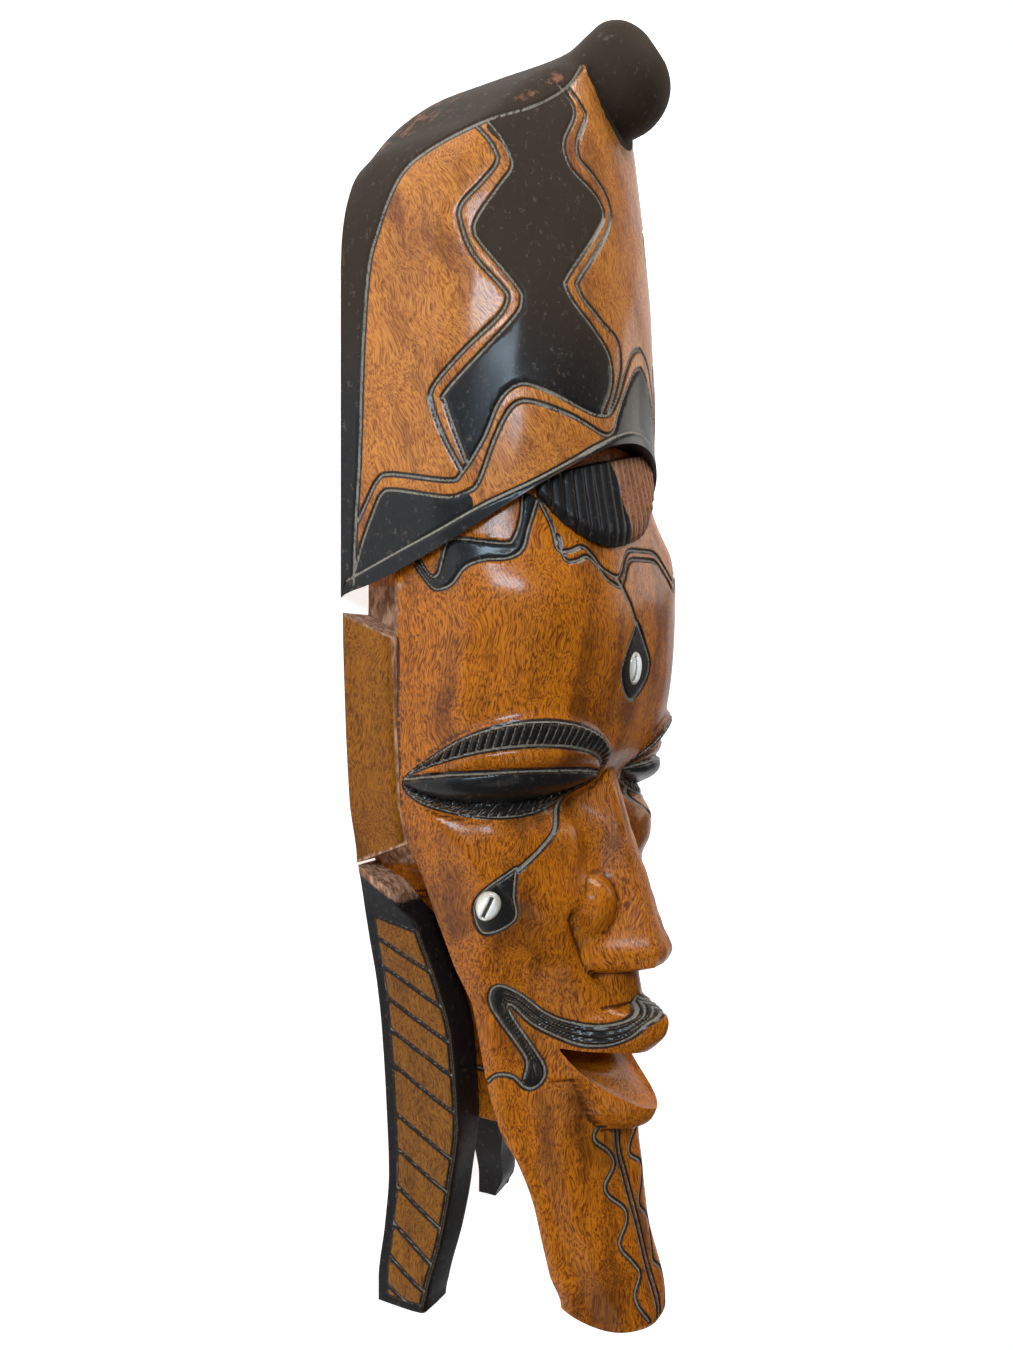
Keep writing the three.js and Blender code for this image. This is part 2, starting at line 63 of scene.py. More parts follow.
def plain_material(name, colour, roughness, glow):
    material = bpy.data.materials.new(name)
    material.use_nodes = True
    shader = material.node_tree.nodes["Principled BSDF"]
    shader.inputs["Base Color"].default_value = (*colour, 1)
    shader.inputs["Roughness"].default_value = roughness
    shader.inputs["Emission Color"].default_value = (1, 1, 1, 1)
    shader.inputs["Emission Strength"].default_value = glow
    return material


paper = bmesh.new()
bmesh.ops.create_grid(paper, x_segments=96, y_segments=2, size=PAPER_SIZE)
for corner in paper.verts:
    turn = max(0.0, corner.co.x - PAPER_BEND) / PAPER_CURVE
    corner.co.x = min(corner.co.x, PAPER_BEND) + PAPER_CURVE * np.sin(turn)
    corner.co.z = PAPER_CURVE * (1 - np.cos(turn)) - PAPER_BELOW
paper_mesh = bpy.data.meshes.new("paper")
paper.to_mesh(paper_mesh)
paper.free()
paper_mesh.materials.append(plain_material("pale_paper", (0.9, 0.9, 0.9), 0.9, 0.78))
for face in paper_mesh.polygons:
    face.use_smooth = True
floor = bpy.data.objects.new("floor", paper_mesh)
scene.collection.objects.link(floor)

world = bpy.data.worlds.new("room")
world.use_nodes = True
world.node_tree.nodes["Background"].inputs["Color"].default_value = (1, 1, 1, 1)
world.node_tree.nodes["Background"].inputs["Strength"].default_value = 0.1
scene.world = world


def soft_light(name, direction, distance, size, power, colour):
    light_data = bpy.data.lights.new(name, "AREA")
    light_data.shape = "RECTANGLE"
    light_data.size, light_data.size_y = size
    light_data.energy = power
    light_data.color = colour
    light = bpy.data.objects.new(name, light_data)
    scene.collection.objects.link(light)
    light.location = Vector(direction).normalized() * distance
    light.rotation_euler = light.location.to_track_quat("Z", "Y").to_euler()


COOL, WARM = (0.62, 0.82, 1.0), (1.0, 0.94, 0.86)
soft_light("window", (-0.79, 0.42, 0.5), 1.6, (0.24, 0.75), 21, COOL)
soft_light("overhead", (0.1, 0.8, 0.55), 1.6, (0.5, 0.5), 12, WARM)
soft_light("fill", (-0.5, -0.5, 0.7), 1.8, (0.9, 0.9), 2.5, WARM)
soft_light("rim", (0.75, 0.25, 0.6), 1.8, (0.6, 1.0), 5, WARM)

# Face: the front of the half log, carved in one with everything but the shells. Its cross
# section changes up the mask, from the wedge of the beard to the square forehead.
# Lengths are millimetres, and heights run up the mask from just under the end of the beard.
MIDDLE_HEIGHT = 301.3
PARTS = ("face", "hat", "knob", "forelock", "ear_block", "lock", "hollow", "mouth")
# Height, half width, depth of the front, depth of the rear edge, squareness, width of the step behind.
FACE = np.array([
    [2, 31, 114, 80, 1.9, 26], [25, 33, 108.5, 76.5, 1.9, 28], [44, 35, 103.5, 73, 1.8, 29],
    [62, 37, 99, 69, 1.7, 30], [80, 40, 95, 63, 1.7, 32], [92, 42, 95, 56, 1.7, 33],
    [102, 43, 97, 53, 1.6, 31], [119, 45, 101, 49, 1.6, 32], [149, 50, 105, 46, 1.6, 37],
    [168, 57, 101, 41, 1.8, 44], [186, 62, 98.5, 36, 2.4, 50], [208, 69, 97, 32, 3, 58],
    [227, 74, 94, 27, 3.1, 68], [241, 77, 86, 25, 2.8, 71], [252, 78, 91, 24, 2.8, 72],
    [264, 79, 101, 24, 2.9, 73], [280, 80, 104.5, 24, 2.9, 73], [300, 80, 108, 24, 2.8, 70],
    [328, 80, 109.5, 24, 2.8, 66], [352, 78.5, 106.5, 24, 2.5, 66], [380, 77, 101, 24, 2.35, 66],
    [420, 74, 95, 24, 2.2, 66],
])
FAR_SIDE_FULLER = 0.1
# How much more the far side swells beside the middle of the beard, the eye and the brow.
SWELL = np.array([
    [2, 0.42], [16, 0.48], [35, 0.38], [53, 0.65], [71, 0.88], [89, 0.95], [96, 0.5], [104, 0], [205, 0],
    [217, 0.2], [235, 0.27], [244, 0.28], [252, 0.22], [262, 0.05], [268, 0.02], [330, 0.04], [344, 0.14],
    [356, 0.17], [364, 0.1], [372, 0.04], [380, 0],
])
SWELL_FROM = 12
JAW_TOP = 94
BEARD_END = (3, 16, 30)
# The eye is an almond that wraps round the side: distance round from the nose, half length, height.
EYE_MIDDLE, EYE_HALF, EYE_HEIGHT = 64.5, 54, 252
# How far the wood stands out, from under the lower lid to above the brow.
EYE_PROFILE = np.array([
    [-19, 0], [-15.5, 1.2], [-12.5, 0.3], [-10, -2.4], [-8.6, 0.2], [-5, 3.2], [-1, 4.1], [3, 2.9],
    [4.6, 1.4], [5.4, 0.0], [8, 1.1], [12, 0.7], [15.4, -0.8], [16.2, -0.6], [20, 0.9], [24.4, 2.4],
    [25.2, 2.8], [27, 1.2], [31, 0],
])
FAR_BROW_PROUDER, BROW_FOOT, BROW_TOP = 1.5, (15, 19), (25, 30)
NOSE = np.array([
    [162, 98, 7], [163.5, 110, 9], [166, 117, 10], [171, 119, 10], [180, 115.6, 9], [205, 107.5, 7],
    [225, 101, 5.5], [240, 96.5, 5], [252, 93, 5], [262, 92, 5],
])
LIPS = np.array([
    [87, 92], [89.5, 103], [92, 109], [97, 112.5], [103, 114], [112, 111.5], [123, 108.5], [128, 113.5],
    [134, 118.4], [139, 119.4], [143, 117.5], [146.5, 110], [149, 101],
])
LIP_HALF, LIP_BACK, LIP_FOOT, LIP_PARTING, LIP_TOP, LIP_UNDERCUT = 33, 77, 85, 118, 150, 14
# The lower edge of the lower lip: distance from the middle line, and height.
LIP_EDGE = np.array([[0, 89.5], [6, 90], [12.5, 92], [20, 101], [26, 115.5], [32, 131], [40, 131]])


def at(table, height, column):
    """A smooth value from a table of heights, with no overshoot at a turning point."""
    rows, values = table[:, 0], table[:, column]
    h = np.clip(height, rows[0], rows[-1])
    i = np.clip(np.searchsorted(rows, h, side="right") - 1, 0, len(rows) - 2)
    rise = np.diff(values) / np.diff(rows)
    slope = np.zeros(len(values))
    level = rise[:-1] + rise[1:]
    product = rise[:-1] * rise[1:]
    slope[1:-1] = np.where(product > 0, 2 * product / np.where(level == 0, 1, level), 0)
    span = rows[i + 1] - rows[i]
    u = (h - rows[i]) / span
    blend = u * u * (3 - 2 * u)
    pull = span * (u * (1 - u) ** 2 * slope[i] - u * u * (1 - u) * slope[i + 1])
    return values[i] + (values[i + 1] - values[i]) * blend + pull


def section(angle, half_width, reach, power):
    """A point of a rounded-square half section and the way it faces."""
    s, c = np.sin(angle), np.maximum(np.cos(angle), 0)
    radius = ((np.abs(s) / half_width) ** power + (c / reach) ** power) ** (-1 / power)
    x, z = radius * s, radius * c
    nx = np.sign(x) * np.abs(x) ** (power - 1) / half_width**power
    nz = z ** (power - 1) / reach**power
    length = np.hypot(nx, nz) + 1e-12
    return x, z, nx / length, nz / length


def smooth_step(value, low, high):
    share = np.clip((value - low) / (high - low), 0, 1)
    return share * share * (3 - 2 * share)


def soft_max(a, b, blend):
    return (a + b + np.sqrt((a - b) ** 2 + blend**2) - blend * 0.5) / 2


class Girth:
    """Distance round a section from the middle line, in both directions between it and the angle."""

    STEPS = 60

    def __init__(self, heights, shape_at):
        self.heights = heights
        self.angles = np.radians(np.linspace(0, 90, self.STEPS + 1))
        x, z, _, _ = section(self.angles[None], *(v[:, None] for v in shape_at(heights)))
        steps = np.hypot(np.diff(x, axis=1), np.diff(z, axis=1))
        self.sums = np.hstack([np.zeros((len(heights), 1)), np.cumsum(steps, axis=1)])

    def row_at(self, height):
        return np.interp(height, self.heights, np.arange(len(self.heights)))

    def side(self, angle, height):
        row = np.clip(self.row_at(height), 0, len(self.heights) - 1.001)
        column = np.clip(np.abs(angle) / self.angles[1], 0, self.STEPS - 0.001)
        i, j = row.astype(int), column.astype(int)
        u, v = row - i, column - j
        low = self.sums[i, j] * (1 - v) + self.sums[i, j + 1] * v
        high = self.sums[i + 1, j] * (1 - v) + self.sums[i + 1, j + 1] * v
        return np.sign(angle) * (low * (1 - u) + high * u)

    def even_angles(self, height, count, closer=0.0):
        """Angles from side to side with points evenly spaced round the section, or closer in the middle."""
        shares = np.linspace(-1, 1, count)
        shares *= 1 - closer * (1 - shares**2)
        sums = self.sums[int(round(float(self.row_at(height))))]
        return np.sign(shares) * np.interp(np.abs(shares) * sums[-1], sums, self.angles)


def face_shape(height):
    rear = at(FACE, height, 3)
    return at(FACE, height, 1), at(FACE, height, 2) - rear, at(FACE, height, 4)


face_girth = Girth(np.arange(0, 421, 2.0), face_shape)


# Carved lines and blackened fields are drawn on the skin in millimetres: how far round from
# the middle line, and how high. Each side mirrors the other unless the line is listed as single.
NONE_NEAR = 9.0


def drawn(points, closed=False):
    """A smooth line through a few points, in short steps."""
    p = np.array(points, float)
    p = np.vstack([p[-1], p, p[0], p[1]]) if closed else np.vstack([2 * p[0] - p[1], p, 2 * p[-1] - p[-2]])
    bits = []
    for a, b, c, d in zip(p[:-3], p[1:-2], p[2:-1], p[3:]):
        t = np.linspace(0, 1, max(2, int(np.hypot(*(c - b)) / 1.6) + 1), endpoint=False)[:, None]
        bits.append(0.5 * (2 * b + (c - a) * t + (2 * a - 5 * b + 4 * c - d) * t**2
                           + (3 * b - a - 3 * c + d) * t**3))
    return np.vstack([*bits, p[-2:-1] if not closed else bits[0][:1]])


def away_from(line, u, v):
    """Distance of each point from a drawn line, up to NONE_NEAR."""
    far = np.full(len(u), NONE_NEAR)
    near = (u > line[:, 0].min() - NONE_NEAR) & (u < line[:, 0].max() + NONE_NEAR)
    near &= (v > line[:, 1].min() - NONE_NEAR) & (v < line[:, 1].max() + NONE_NEAR)
    spots = np.stack([u[near], v[near]], axis=1)
    best = np.full(len(spots), NONE_NEAR**2)
    for a, b in zip(line[:-1], line[1:]):
        along = b - a
        share = np.clip((spots - a) @ along / (along @ along + 1e-9), 0, 1)
        gap = spots - a - share[:, None] * along
        best = np.minimum(best, (gap**2).sum(axis=1))
    far[near] = np.sqrt(best)
    return far


def over_eye(side, height):
    """A point's share of the way along the almond from its middle, the arch there, and its level."""
    along = (np.abs(side) - EYE_MIDDLE) / EYE_HALF
    arch = np.maximum((1 - np.clip(along, -1, 1) ** 2) ** 0.7, 0.03)
    return along, arch, (height - EYE_HEIGHT) / arch


def eye_relief(side, height):
    along, arch, level = over_eye(side, height)
    prouder = np.where(side > 0, FAR_BROW_PROUDER, 0) * smooth_step(level, *BROW_FOOT)
    profile = at(EYE_PROFILE, level, 1) + prouder * smooth_step(-level, -BROW_TOP[1], -BROW_TOP[0])
    return np.where(np.abs(along) < 1, np.minimum(1, arch * 1.6) * profile, 0)


# The cheek falls in under the eye, behind a crisp crease that runs down to the cheek shell.
CREASE_FOOT, CREASE_INWARD = (74, 207), (-0.747, 0.664)
CHEEK_DEPTH, CHEEK_EASE = 6.5, 9
# Where it fades: in height below, in distance from the middle line, and in height above.
CHEEK_LOW, CHEEK_INNER, CHEEK_HIGH = (188, 214), (10, 24), (236, 250)


def cheek_relief(side, height):
    past = CREASE_INWARD[0] * (np.abs(side) - CREASE_FOOT[0]) + CREASE_INWARD[1] * (height - CREASE_FOOT[1])
    past = np.maximum(past, 0)
    fade = smooth_step(height, *CHEEK_LOW) * smooth_step(np.abs(side), *CHEEK_INNER)
    fade = fade * (1 - smooth_step(height, *CHEEK_HIGH))
    return -CHEEK_DEPTH * past / (past + CHEEK_EASE) * fade


# A valley beside the bridge of the nose, and one round the wing down to the lip.
NOSTRIL_VALLEY = np.array([[33, 190], [29, 181], [21, 167], [12, 151]], float)
VALLEY_DEPTH, BRIDGE_VALLEY_HALF, WING_VALLEY_HALF, WING_VALLEY_LOW = 5.5, 5.5, 4.2, (148, 165)
BRIDGE_ASIDE, BRIDGE_MIDDLE, BRIDGE_HALF = 16, 226, 24
# The wing of the nose: its middle, its half width and half height, how deep it starts, its rise.
WING_ASIDE, WING_HEIGHT, WING_HALF, WING_TALL, WING_DEPTH, WING_RISE = 17, 194, 12.5, 14, 89, 11


def nose_valley(x, height):
    v = np.clip(np.abs(height - BRIDGE_MIDDLE) / BRIDGE_HALF, 0, 1)
    bridge = np.exp(-(((np.abs(x) - BRIDGE_ASIDE) / BRIDGE_VALLEY_HALF) ** 2))
    away = away_from(NOSTRIL_VALLEY, np.abs(x), height + 0 * x)
    under = VALLEY_DEPTH * np.exp(-((away / WING_VALLEY_HALF) ** 2)) * smooth_step(height, *WING_VALLEY_LOW)
    return -(VALLEY_DEPTH * bridge * (1 - v * v)) - under


def nose_depth(x, height):
    side = np.maximum(0, np.abs(x) - at(NOSE, height, 2))
    wedge = at(NOSE, height, 1) - 1.8 * side - np.abs(x) * 0.08
    dome = 1 - ((np.abs(x) - WING_ASIDE) / WING_HALF) ** 2 - ((height - WING_HEIGHT) / WING_TALL) ** 2
    wing = np.where(dome > 0, WING_DEPTH + WING_RISE * np.sqrt(np.maximum(dome, 0)), 0)
    return np.where((height > NOSE[-1, 0]) | (height < NOSE[0, 0] - 1), 0, soft_max(wedge, wing, 1.0))


def lip_depth(x, height):
    tip, out = at(LIPS, height, 1), np.abs(x)
    below = smooth_step(np.interp(out, LIP_EDGE[:, 0], LIP_EDGE[:, 1]) - height, -0.8, 2.4)
    front = tip - (tip - LIP_BACK) * (out / LIP_HALF) ** 1.6 - LIP_UNDERCUT * (below * (height < LIP_PARTING))
    return np.where((height < LIP_FOOT) | (height > LIP_TOP) | (out > LIP_HALF * 1.15), 0, front)


def swell(x, height):
    far = np.maximum(x, 0)
    return at(SWELL, height, 1) * far**2 / (far + SWELL_FROM)


def face_point(angle, height):
    half, reach, power = face_shape(height)
    x, z, nx, nz = section(angle, half, reach, power)
    side = face_girth.side(angle, height)
    lift = eye_relief(side, height) + cheek_relief(side, height)
    x_out = x + nx * lift
    fuller = (FAR_SIDE_FULLER * x + swell(x, height) * z / reach) * z / reach
    depth = at(FACE, height, 3) + z + nz * lift + fuller
    depth = depth + nose_valley(x_out, height)
    depth = soft_max(depth, nose_depth(x_out, height), 0.9)
    depth = soft_max(depth, lip_depth(x_out, height), 0.9)
    return x_out, height, depth


def tube(columns, rows, place, part):
    """A closed tube whose points are moved to the places worked out for each column and row."""
    bm = bmesh.new()
    bmesh.ops.create_cone(bm, cap_ends=True, segments=columns, radius1=1, radius2=1, depth=2)
    lengthwise = [e for e in bm.edges if abs(e.verts[0].co.z - e.verts[1].co.z) > 1]
    bmesh.ops.subdivide_edges(bm, edges=lengthwise, cuts=rows - 2)
    here = np.array([v.co for v in bm.verts])
    turn = np.arctan2(here[:, 1], here[:, 0]) / (2 * np.pi)
    column = np.rint(turn * columns).astype(int) % columns
    row = np.rint((here[:, 2] + 1) / 2 * (rows - 1)).astype(int)
    places = np.array(place)[row, column]
    for vertex, spot in zip(bm.verts, places):
        vertex.co = spot
    return solid_piece(bm, part)


def solid_piece(bm, part):
    """One closed shell of the carving, which the joining below makes part of the mask."""
    bmesh.ops.recalc_face_normals(bm, faces=bm.faces)
    for face in bm.faces:
        face.material_index = PARTS.index(part)
    mesh = bpy.data.meshes.new(part)
    bm.to_mesh(mesh)
    bm.free()
    for _ in PARTS:
        mesh.materials.append(None)
    piece = bpy.data.objects.new(part, mesh)
    scene.collection.objects.link(piece)
    return piece


def within(outline, u, v):
    """Distance in from the edge of a closed field, negative outside it."""
    inside = np.zeros(len(u), bool)
    for (u0, v0), (u1, v1) in zip(outline[:-1], outline[1:]):
        crosses = (v0 > v) != (v1 > v)
        inside ^= crosses & (u < u0 + (v - v0) / (v1 - v0 + 1e-12) * (u1 - u0))
    return np.where(inside, 1, -1) * away_from(outline, u, v)


# Lines are lists of points with half the width of the gouge. Fields are closed outlines.
W_LOWER = [(124, 343), (119, 335), (115, 333), (108, 335), (100, 342), (91, 345), (79, 346), (72, 350),
           (68, 358), (61, 371)]
W_UPPER = [(122, 347), (118, 339), (114, 339), (110, 345), (106, 352), (101, 354), (80, 352), (75, 354),
           (70, 363), (67, 373)]
TEAR = [(27, 242), (42, 230), (54, 222), (66, 214)]
CHEEK_DIAMOND = [(67, 215), (68, 204), (66, 192), (79, 186), (86, 198), (80, 207)]
MOUSTACHE_UPPER = [(54, 118), (54, 126), (60, 134), (68, 143), (74, 152), (73, 159), (68, 161), (60, 157),
                   (50, 149), (40, 144), (27, 141), (17, 142), (6, 147), (-6, 152)]
MOUSTACHE_LOWER = [(82, 106), (74, 113), (68, 119), (60, 119), (53, 114), (48, 114), (45, 118), (46, 124),
                   (53, 133), (62, 144), (66, 151), (64, 152), (55, 144), (44, 138), (32, 133), (21, 132),
                   (14, 135), (8, 141), (-6, 146)]
MOUSTACHE_FIELD = [*MOUSTACHE_UPPER, *MOUSTACHE_LOWER[::-1][:-4]]
LEG_MIDDLE = [(49, 119), (52, 127), (60, 138), (68, 149), (68, 155)]


def across_band(share):
    """A line inside the moustache, at a share of the way down from its upper edge to its lower."""
    upper, lower = drawn(MOUSTACHE_UPPER[6:]), drawn(MOUSTACHE_LOWER[10:])
    places = np.linspace(0, 1, 14)
    rows = [np.stack([np.interp(places, np.linspace(0, 1, len(edge)), edge[:, k]) for k in (0, 1)], axis=1)
            for edge in (upper, lower)]
    return list(map(tuple, rows[0] * (1 - share) + rows[1] * share))


FRONT_ZIGZAG = [(-60, 370), (-57, 360), (-56, 350), (-50, 350), (-44, 352), (-39, 349), (-34, 343),
                (-26, 340), (-22, 342), (-16, 350), (-11, 353), (0, 354), (14, 354), (24, 348), (34, 342),
                (44, 350), (57, 351), (60, 366)]
FRONT_ZIGZAG_BELOW = [(u * 0.96, v - 4.2) for u, v in FRONT_ZIGZAG[1:-1]]
FRONT_STRING = [(-26, 340), (-18, 330), (-11, 320)]
FRONT_DIAMOND = [(-10, 321), (-21, 298), (-8, 286), (6, 301)]
BEARD_MIDDLE = [(-3, 88), (-1, 62), (0, 44), (0, 25), (0, 5)]
BEARD_LEFT = [(-14, 92), (-16, 86), (-7, 78), (-5, 72), (-13, 66), (-13, 61), (-5, 53), (-5, 48), (-13, 40),
              (-8, 31), (-5, 25), (-11, 19), (-11, 13), (-6, 5)]
face_lines = [
    (W_LOWER, 0.7), (W_UPPER, 0.7), (TEAR, 1.1), (CHEEK_DIAMOND + CHEEK_DIAMOND[:1], 0.7),
    (MOUSTACHE_UPPER, 0.8), (MOUSTACHE_LOWER, 0.8), (LEG_MIDDLE, 0.5),
    (across_band(0.33), 0.55), (across_band(0.66), 0.55),
]
face_single_lines = [
    (FRONT_ZIGZAG, 0.7), (FRONT_ZIGZAG_BELOW, 0.7), (FRONT_STRING, 1.0),
    (FRONT_DIAMOND + FRONT_DIAMOND[:1], 0.7),
    (BEARD_MIDDLE, 0.7), ([(u + 3.4, v) for u, v in BEARD_MIDDLE], 0.7), (BEARD_LEFT, 0.8),
    ([(3 - u, v) for u, v in BEARD_LEFT], 0.8),
]
face_fields = [W_LOWER + W_UPPER[::-1], CHEEK_DIAMOND, MOUSTACHE_FIELD]
face_single_fields = [FRONT_DIAMOND]
# Levels over the eye: the black of the brow and of the eye, the lines that edge them with half
# their width, and the hatching of the brow and of the lower lid as from, to, pitch and slant.
BROW_BLACK, EYE_BLACK = (15.2, 26.2), (-15.5, 4.5)
EYE_LINES = ((15.5, 0.75), (25.6, 0.8), (4.5, 0.7), (-15.5, 0.6))
HATCHED, HATCH_HALF = ((16.2, 25, 3.7, 0.1), (-14.8, -10, 4.6, 1.2)), 0.62


def marks(u, v, lines, fields):
    """Distance from the nearest gouge's edge, and distance in from the edge of the black."""
    gouge, black = np.full(len(u), NONE_NEAR), np.full(len(u), -NONE_NEAR)
    for points, half in lines:
        gouge = np.minimum(gouge, away_from(drawn(points), u, v) - half)
    for outline in fields:
        black = np.maximum(black, within(drawn(outline, closed=True), u, v))
    return gouge, black


def face_angle(x, height, z):
    """The angle round the face's section at which a point lies."""
    rear, reach = at(FACE, height, 3), at(FACE, height, 2) - at(FACE, height, 3)
    turned, swollen = 1 + FAR_SIDE_FULLER * x / reach, swell(x, height) / reach**2
    depth = 2 * (z - rear) / (turned + np.sqrt(np.maximum(turned**2 + 4 * swollen * (z - rear), 0.01)))
    return np.arctan2(x, np.maximum(depth, 0.01))


def face_side(x, height, z):
    """How far round the face a point is from the middle line."""
    return face_girth.side(face_angle(x, height, z), height)


def hatching(across_eye, level, low, high, pitch, slant):
    """Short gouges side by side between two levels of the eye."""
    shift = (across_eye + slant * level) / pitch
    gap = np.abs(shift - np.rint(shift)) * pitch
    end = np.maximum(low - level, level - high)
    return np.maximum(gap, end) - HATCH_HALF


def face_marks(x, height, z):
    u = face_side(x, height, z)
    gouge, black = marks(np.abs(u), height, face_lines, face_fields)
    single_gouge, single_black = marks(u, height, face_single_lines, face_single_fields)
    gouge, black = np.minimum(gouge, single_gouge), np.maximum(black, single_black)
    along, arch, level = over_eye(u, height)
    inside = np.minimum(1, (1 - np.abs(along)) * EYE_HALF)
    brow, lens = (np.minimum(level - low, high - level) * arch for low, high in (BROW_BLACK, EYE_BLACK))
    black = np.maximum(black, np.minimum(np.maximum(brow, lens), inside))
    for edge, half in EYE_LINES:
        line = np.where(np.abs(along) < 1, np.abs(level - edge) * arch - half, NONE_NEAR)
        gouge = np.minimum(gouge, line)
    for hatched in HATCHED:
        hatch = hatching(np.abs(u), level, *hatched)
        gouge = np.minimum(gouge, np.where(np.abs(along) < 0.98, hatch, NONE_NEAR))
    return gouge, black


FACE_COLUMNS, REAR_STEP = 117, 5
face_rows = np.concatenate([
    np.arange(0, 82, 2.7), np.arange(82, 150, 1.5), np.arange(150, 232, 2.0), np.arange(232, 284, 1.3),
    np.arange(284, 420.1, 3.0),
])
face_rings = []
for height in face_rows:
    angles = face_girth.even_angles(height, FACE_COLUMNS, closer=0.3)
    x, _, z = face_point(angles, np.full(FACE_COLUMNS, height))
    lift = BEARD_END[0] + (BEARD_END[1] - BEARD_END[0]) * (angles / (np.pi / 2)) ** 2
    y = height + lift * max(0, 1 - height / BEARD_END[2])
    rear, inner = at(FACE, height, 3), at(FACE, height, 5)
    back = rear if height < JAW_TOP else 0
    foot = max(back, rear - REAR_STEP)
    step = [(inner, foot), (inner - 1, back), (1 - inner, back), (-inner, foot)]
    arc = np.stack([x, y, z], axis=1)
    face_rings.append(np.vstack([arc, [(sx, y[0], sz) for sx, sz in step]]))
mask = tube(FACE_COLUMNS + 4, len(face_rows), face_rings, "face")

# Hat: a high wall over the forehead, cut through from the front by the arch of the brim below
# and by a gable above. The rounded top edge and the crown behind it are one black border.
HAT_HALF_WIDTH, HAT_DEPTH, HAT_SQUARENESS = 86, 107, 2.4
LEAN_FROM, LEAN_OVER, LEAN_BY = 425, 115, 9.5
BRIM_REAR, BRIM_RISE, BRIM_POWER = 330, 69, 0.62
CROWN_RISE, CROWN_EDGE, REAR_ROUND, REAR_DROP = 6, 15, 14, 5
GABLE = np.array([
    [0, 586], [16, 577], [44, 555.5], [64, 533.5], [75, 521], [82, 505.5], [85.5, 488], [86, 478],
])
HAT_COLUMNS, WALL_ROWS, ROUND_ROWS, CROWN_ROWS = 91, 62, 8, 16
# The columns stop just short of the rear plane, where one would have no depth.
HAT_TURN_SHARE = 88.5 / 90
# A black zigzag runs down each side between two wood strips, over a waving wood strip.
ZIGZAG_REAR = [(84, 530), (77, 516), (76, 509), (82, 501), (92, 488), (94, 482), (91, 476), (77, 459),
               (75, 453), (80, 444), (107, 416), (108, 411), (104, 399), (99, 386)]
ZIGZAG_REAR_STRIP = [(90, 529), (83, 516), (83, 510), (90, 502), (99, 493), (100, 486), (95, 472), (84, 459),
                     (81, 454), (85, 446), (100, 432), (113, 418), (114, 411), (109, 397), (101, 382)]
ZIGZAG_FRONT = [(48, 551), (42, 544), (42, 538), (49, 526), (49, 518), (44, 512), (31, 505), (28, 499),
                (34, 490), (53, 466), (54, 460), (48, 452), (33, 439), (29, 430), (30, 421), (36, 409)]
ZIGZAG_FRONT_STRIP = [(43, 552), (36, 545), (34, 541), (41, 528), (41, 520), (33, 515), (24, 509), (22, 501),
                      (28, 490), (47, 466), (48, 462), (45, 457), (35, 450), (24, 444), (22, 434), (26, 422),
                      (31, 411)]
WAVE_UPPER = [(149, 363), (143, 374), (139, 380), (133, 382), (107, 378), (101, 381), (92, 395),
              (85, 411), (77, 418), (67, 417), (46, 410), (37, 409), (30, 411), (24, 419), (17, 432),
              (8, 443), (-8, 449)]
WAVE_LOWER = [(151, 340), (147, 353), (141, 367), (137, 374), (131, 375), (108, 371), (99, 373), (94, 377),
              (88, 393), (83, 404), (78, 410), (71, 411), (54, 407), (42, 403), (33, 401), (27, 404),
              (23, 413), (15, 426), (6, 435), (-8, 440)]
TOP_BORDER = [(151, 330), (150, 360), (148, 390), (146, 440), (143, 470), (138, 486), (131, 503), (124, 513),
              (112, 520), (87, 530), (65, 537), (46, 549), (31, 565), (18, 580)]
BRIM_BORDER = [(158, 336), (140, 344), (114, 356), (93, 367), (72, 377), (54, 387), (38, 396), (16, 405),
               (-8, 408)]
# Corners well outside the hat, which close the black beyond the top border and the brim.
AROUND_TOP, AROUND_BRIM = [(0, 620), (190, 620), (190, 330)], [(-8, 300), (190, 300)]
hat_lines = [(points, 0.8) for points in (ZIGZAG_REAR, ZIGZAG_REAR_STRIP, ZIGZAG_FRONT, ZIGZAG_FRONT_STRIP,
                                          WAVE_UPPER, WAVE_LOWER, TOP_BORDER, BRIM_BORDER)]
hat_fields = [
    ZIGZAG_REAR + WAVE_UPPER[5:12] + ZIGZAG_FRONT[::-1],
    WAVE_LOWER[:7] + [(97, 365), (114, 356), (140, 344)],
    WAVE_LOWER[15:] + [(-8, 408), (16, 405), (26, 401)],
]


def hat_shape(height):
    like = np.ones_like(height)
    return HAT_HALF_WIDTH * like, HAT_DEPTH * like, HAT_SQUARENESS * like


def hat_lean(height):
    return 1 - LEAN_BY / HAT_DEPTH * np.maximum(0, (height - LEAN_FROM) / LEAN_OVER) ** 1.6


def brim_height(x):
    return BRIM_REAR + BRIM_RISE * np.maximum(0, 1 - (x / HAT_HALF_WIDTH) ** 2) ** BRIM_POWER


def corners(points, u, v):
    """As within(), for an outline with straight sides."""
    return within(np.array(points + points[:1], float), u, v)


# The knob leans forward off the front of the crown, and its black ends in a clean round edge.
KNOB_HEIGHT, KNOB_DEPTH, KNOB_RADIUS, KNOB_HALF_WIDTH = 570.5, 92.5, 25.5, 25
KNOB_REACH, KNOB_ROOT, KNOB_TILT = 24.5, 12, radians(31)


def from_knob(x, height, z):
    """Distance from the line through the middle of the knob."""
    up = (height - KNOB_HEIGHT) * np.cos(KNOB_TILT) - (z - KNOB_DEPTH) * np.sin(KNOB_TILT)
    return np.hypot(x, up)


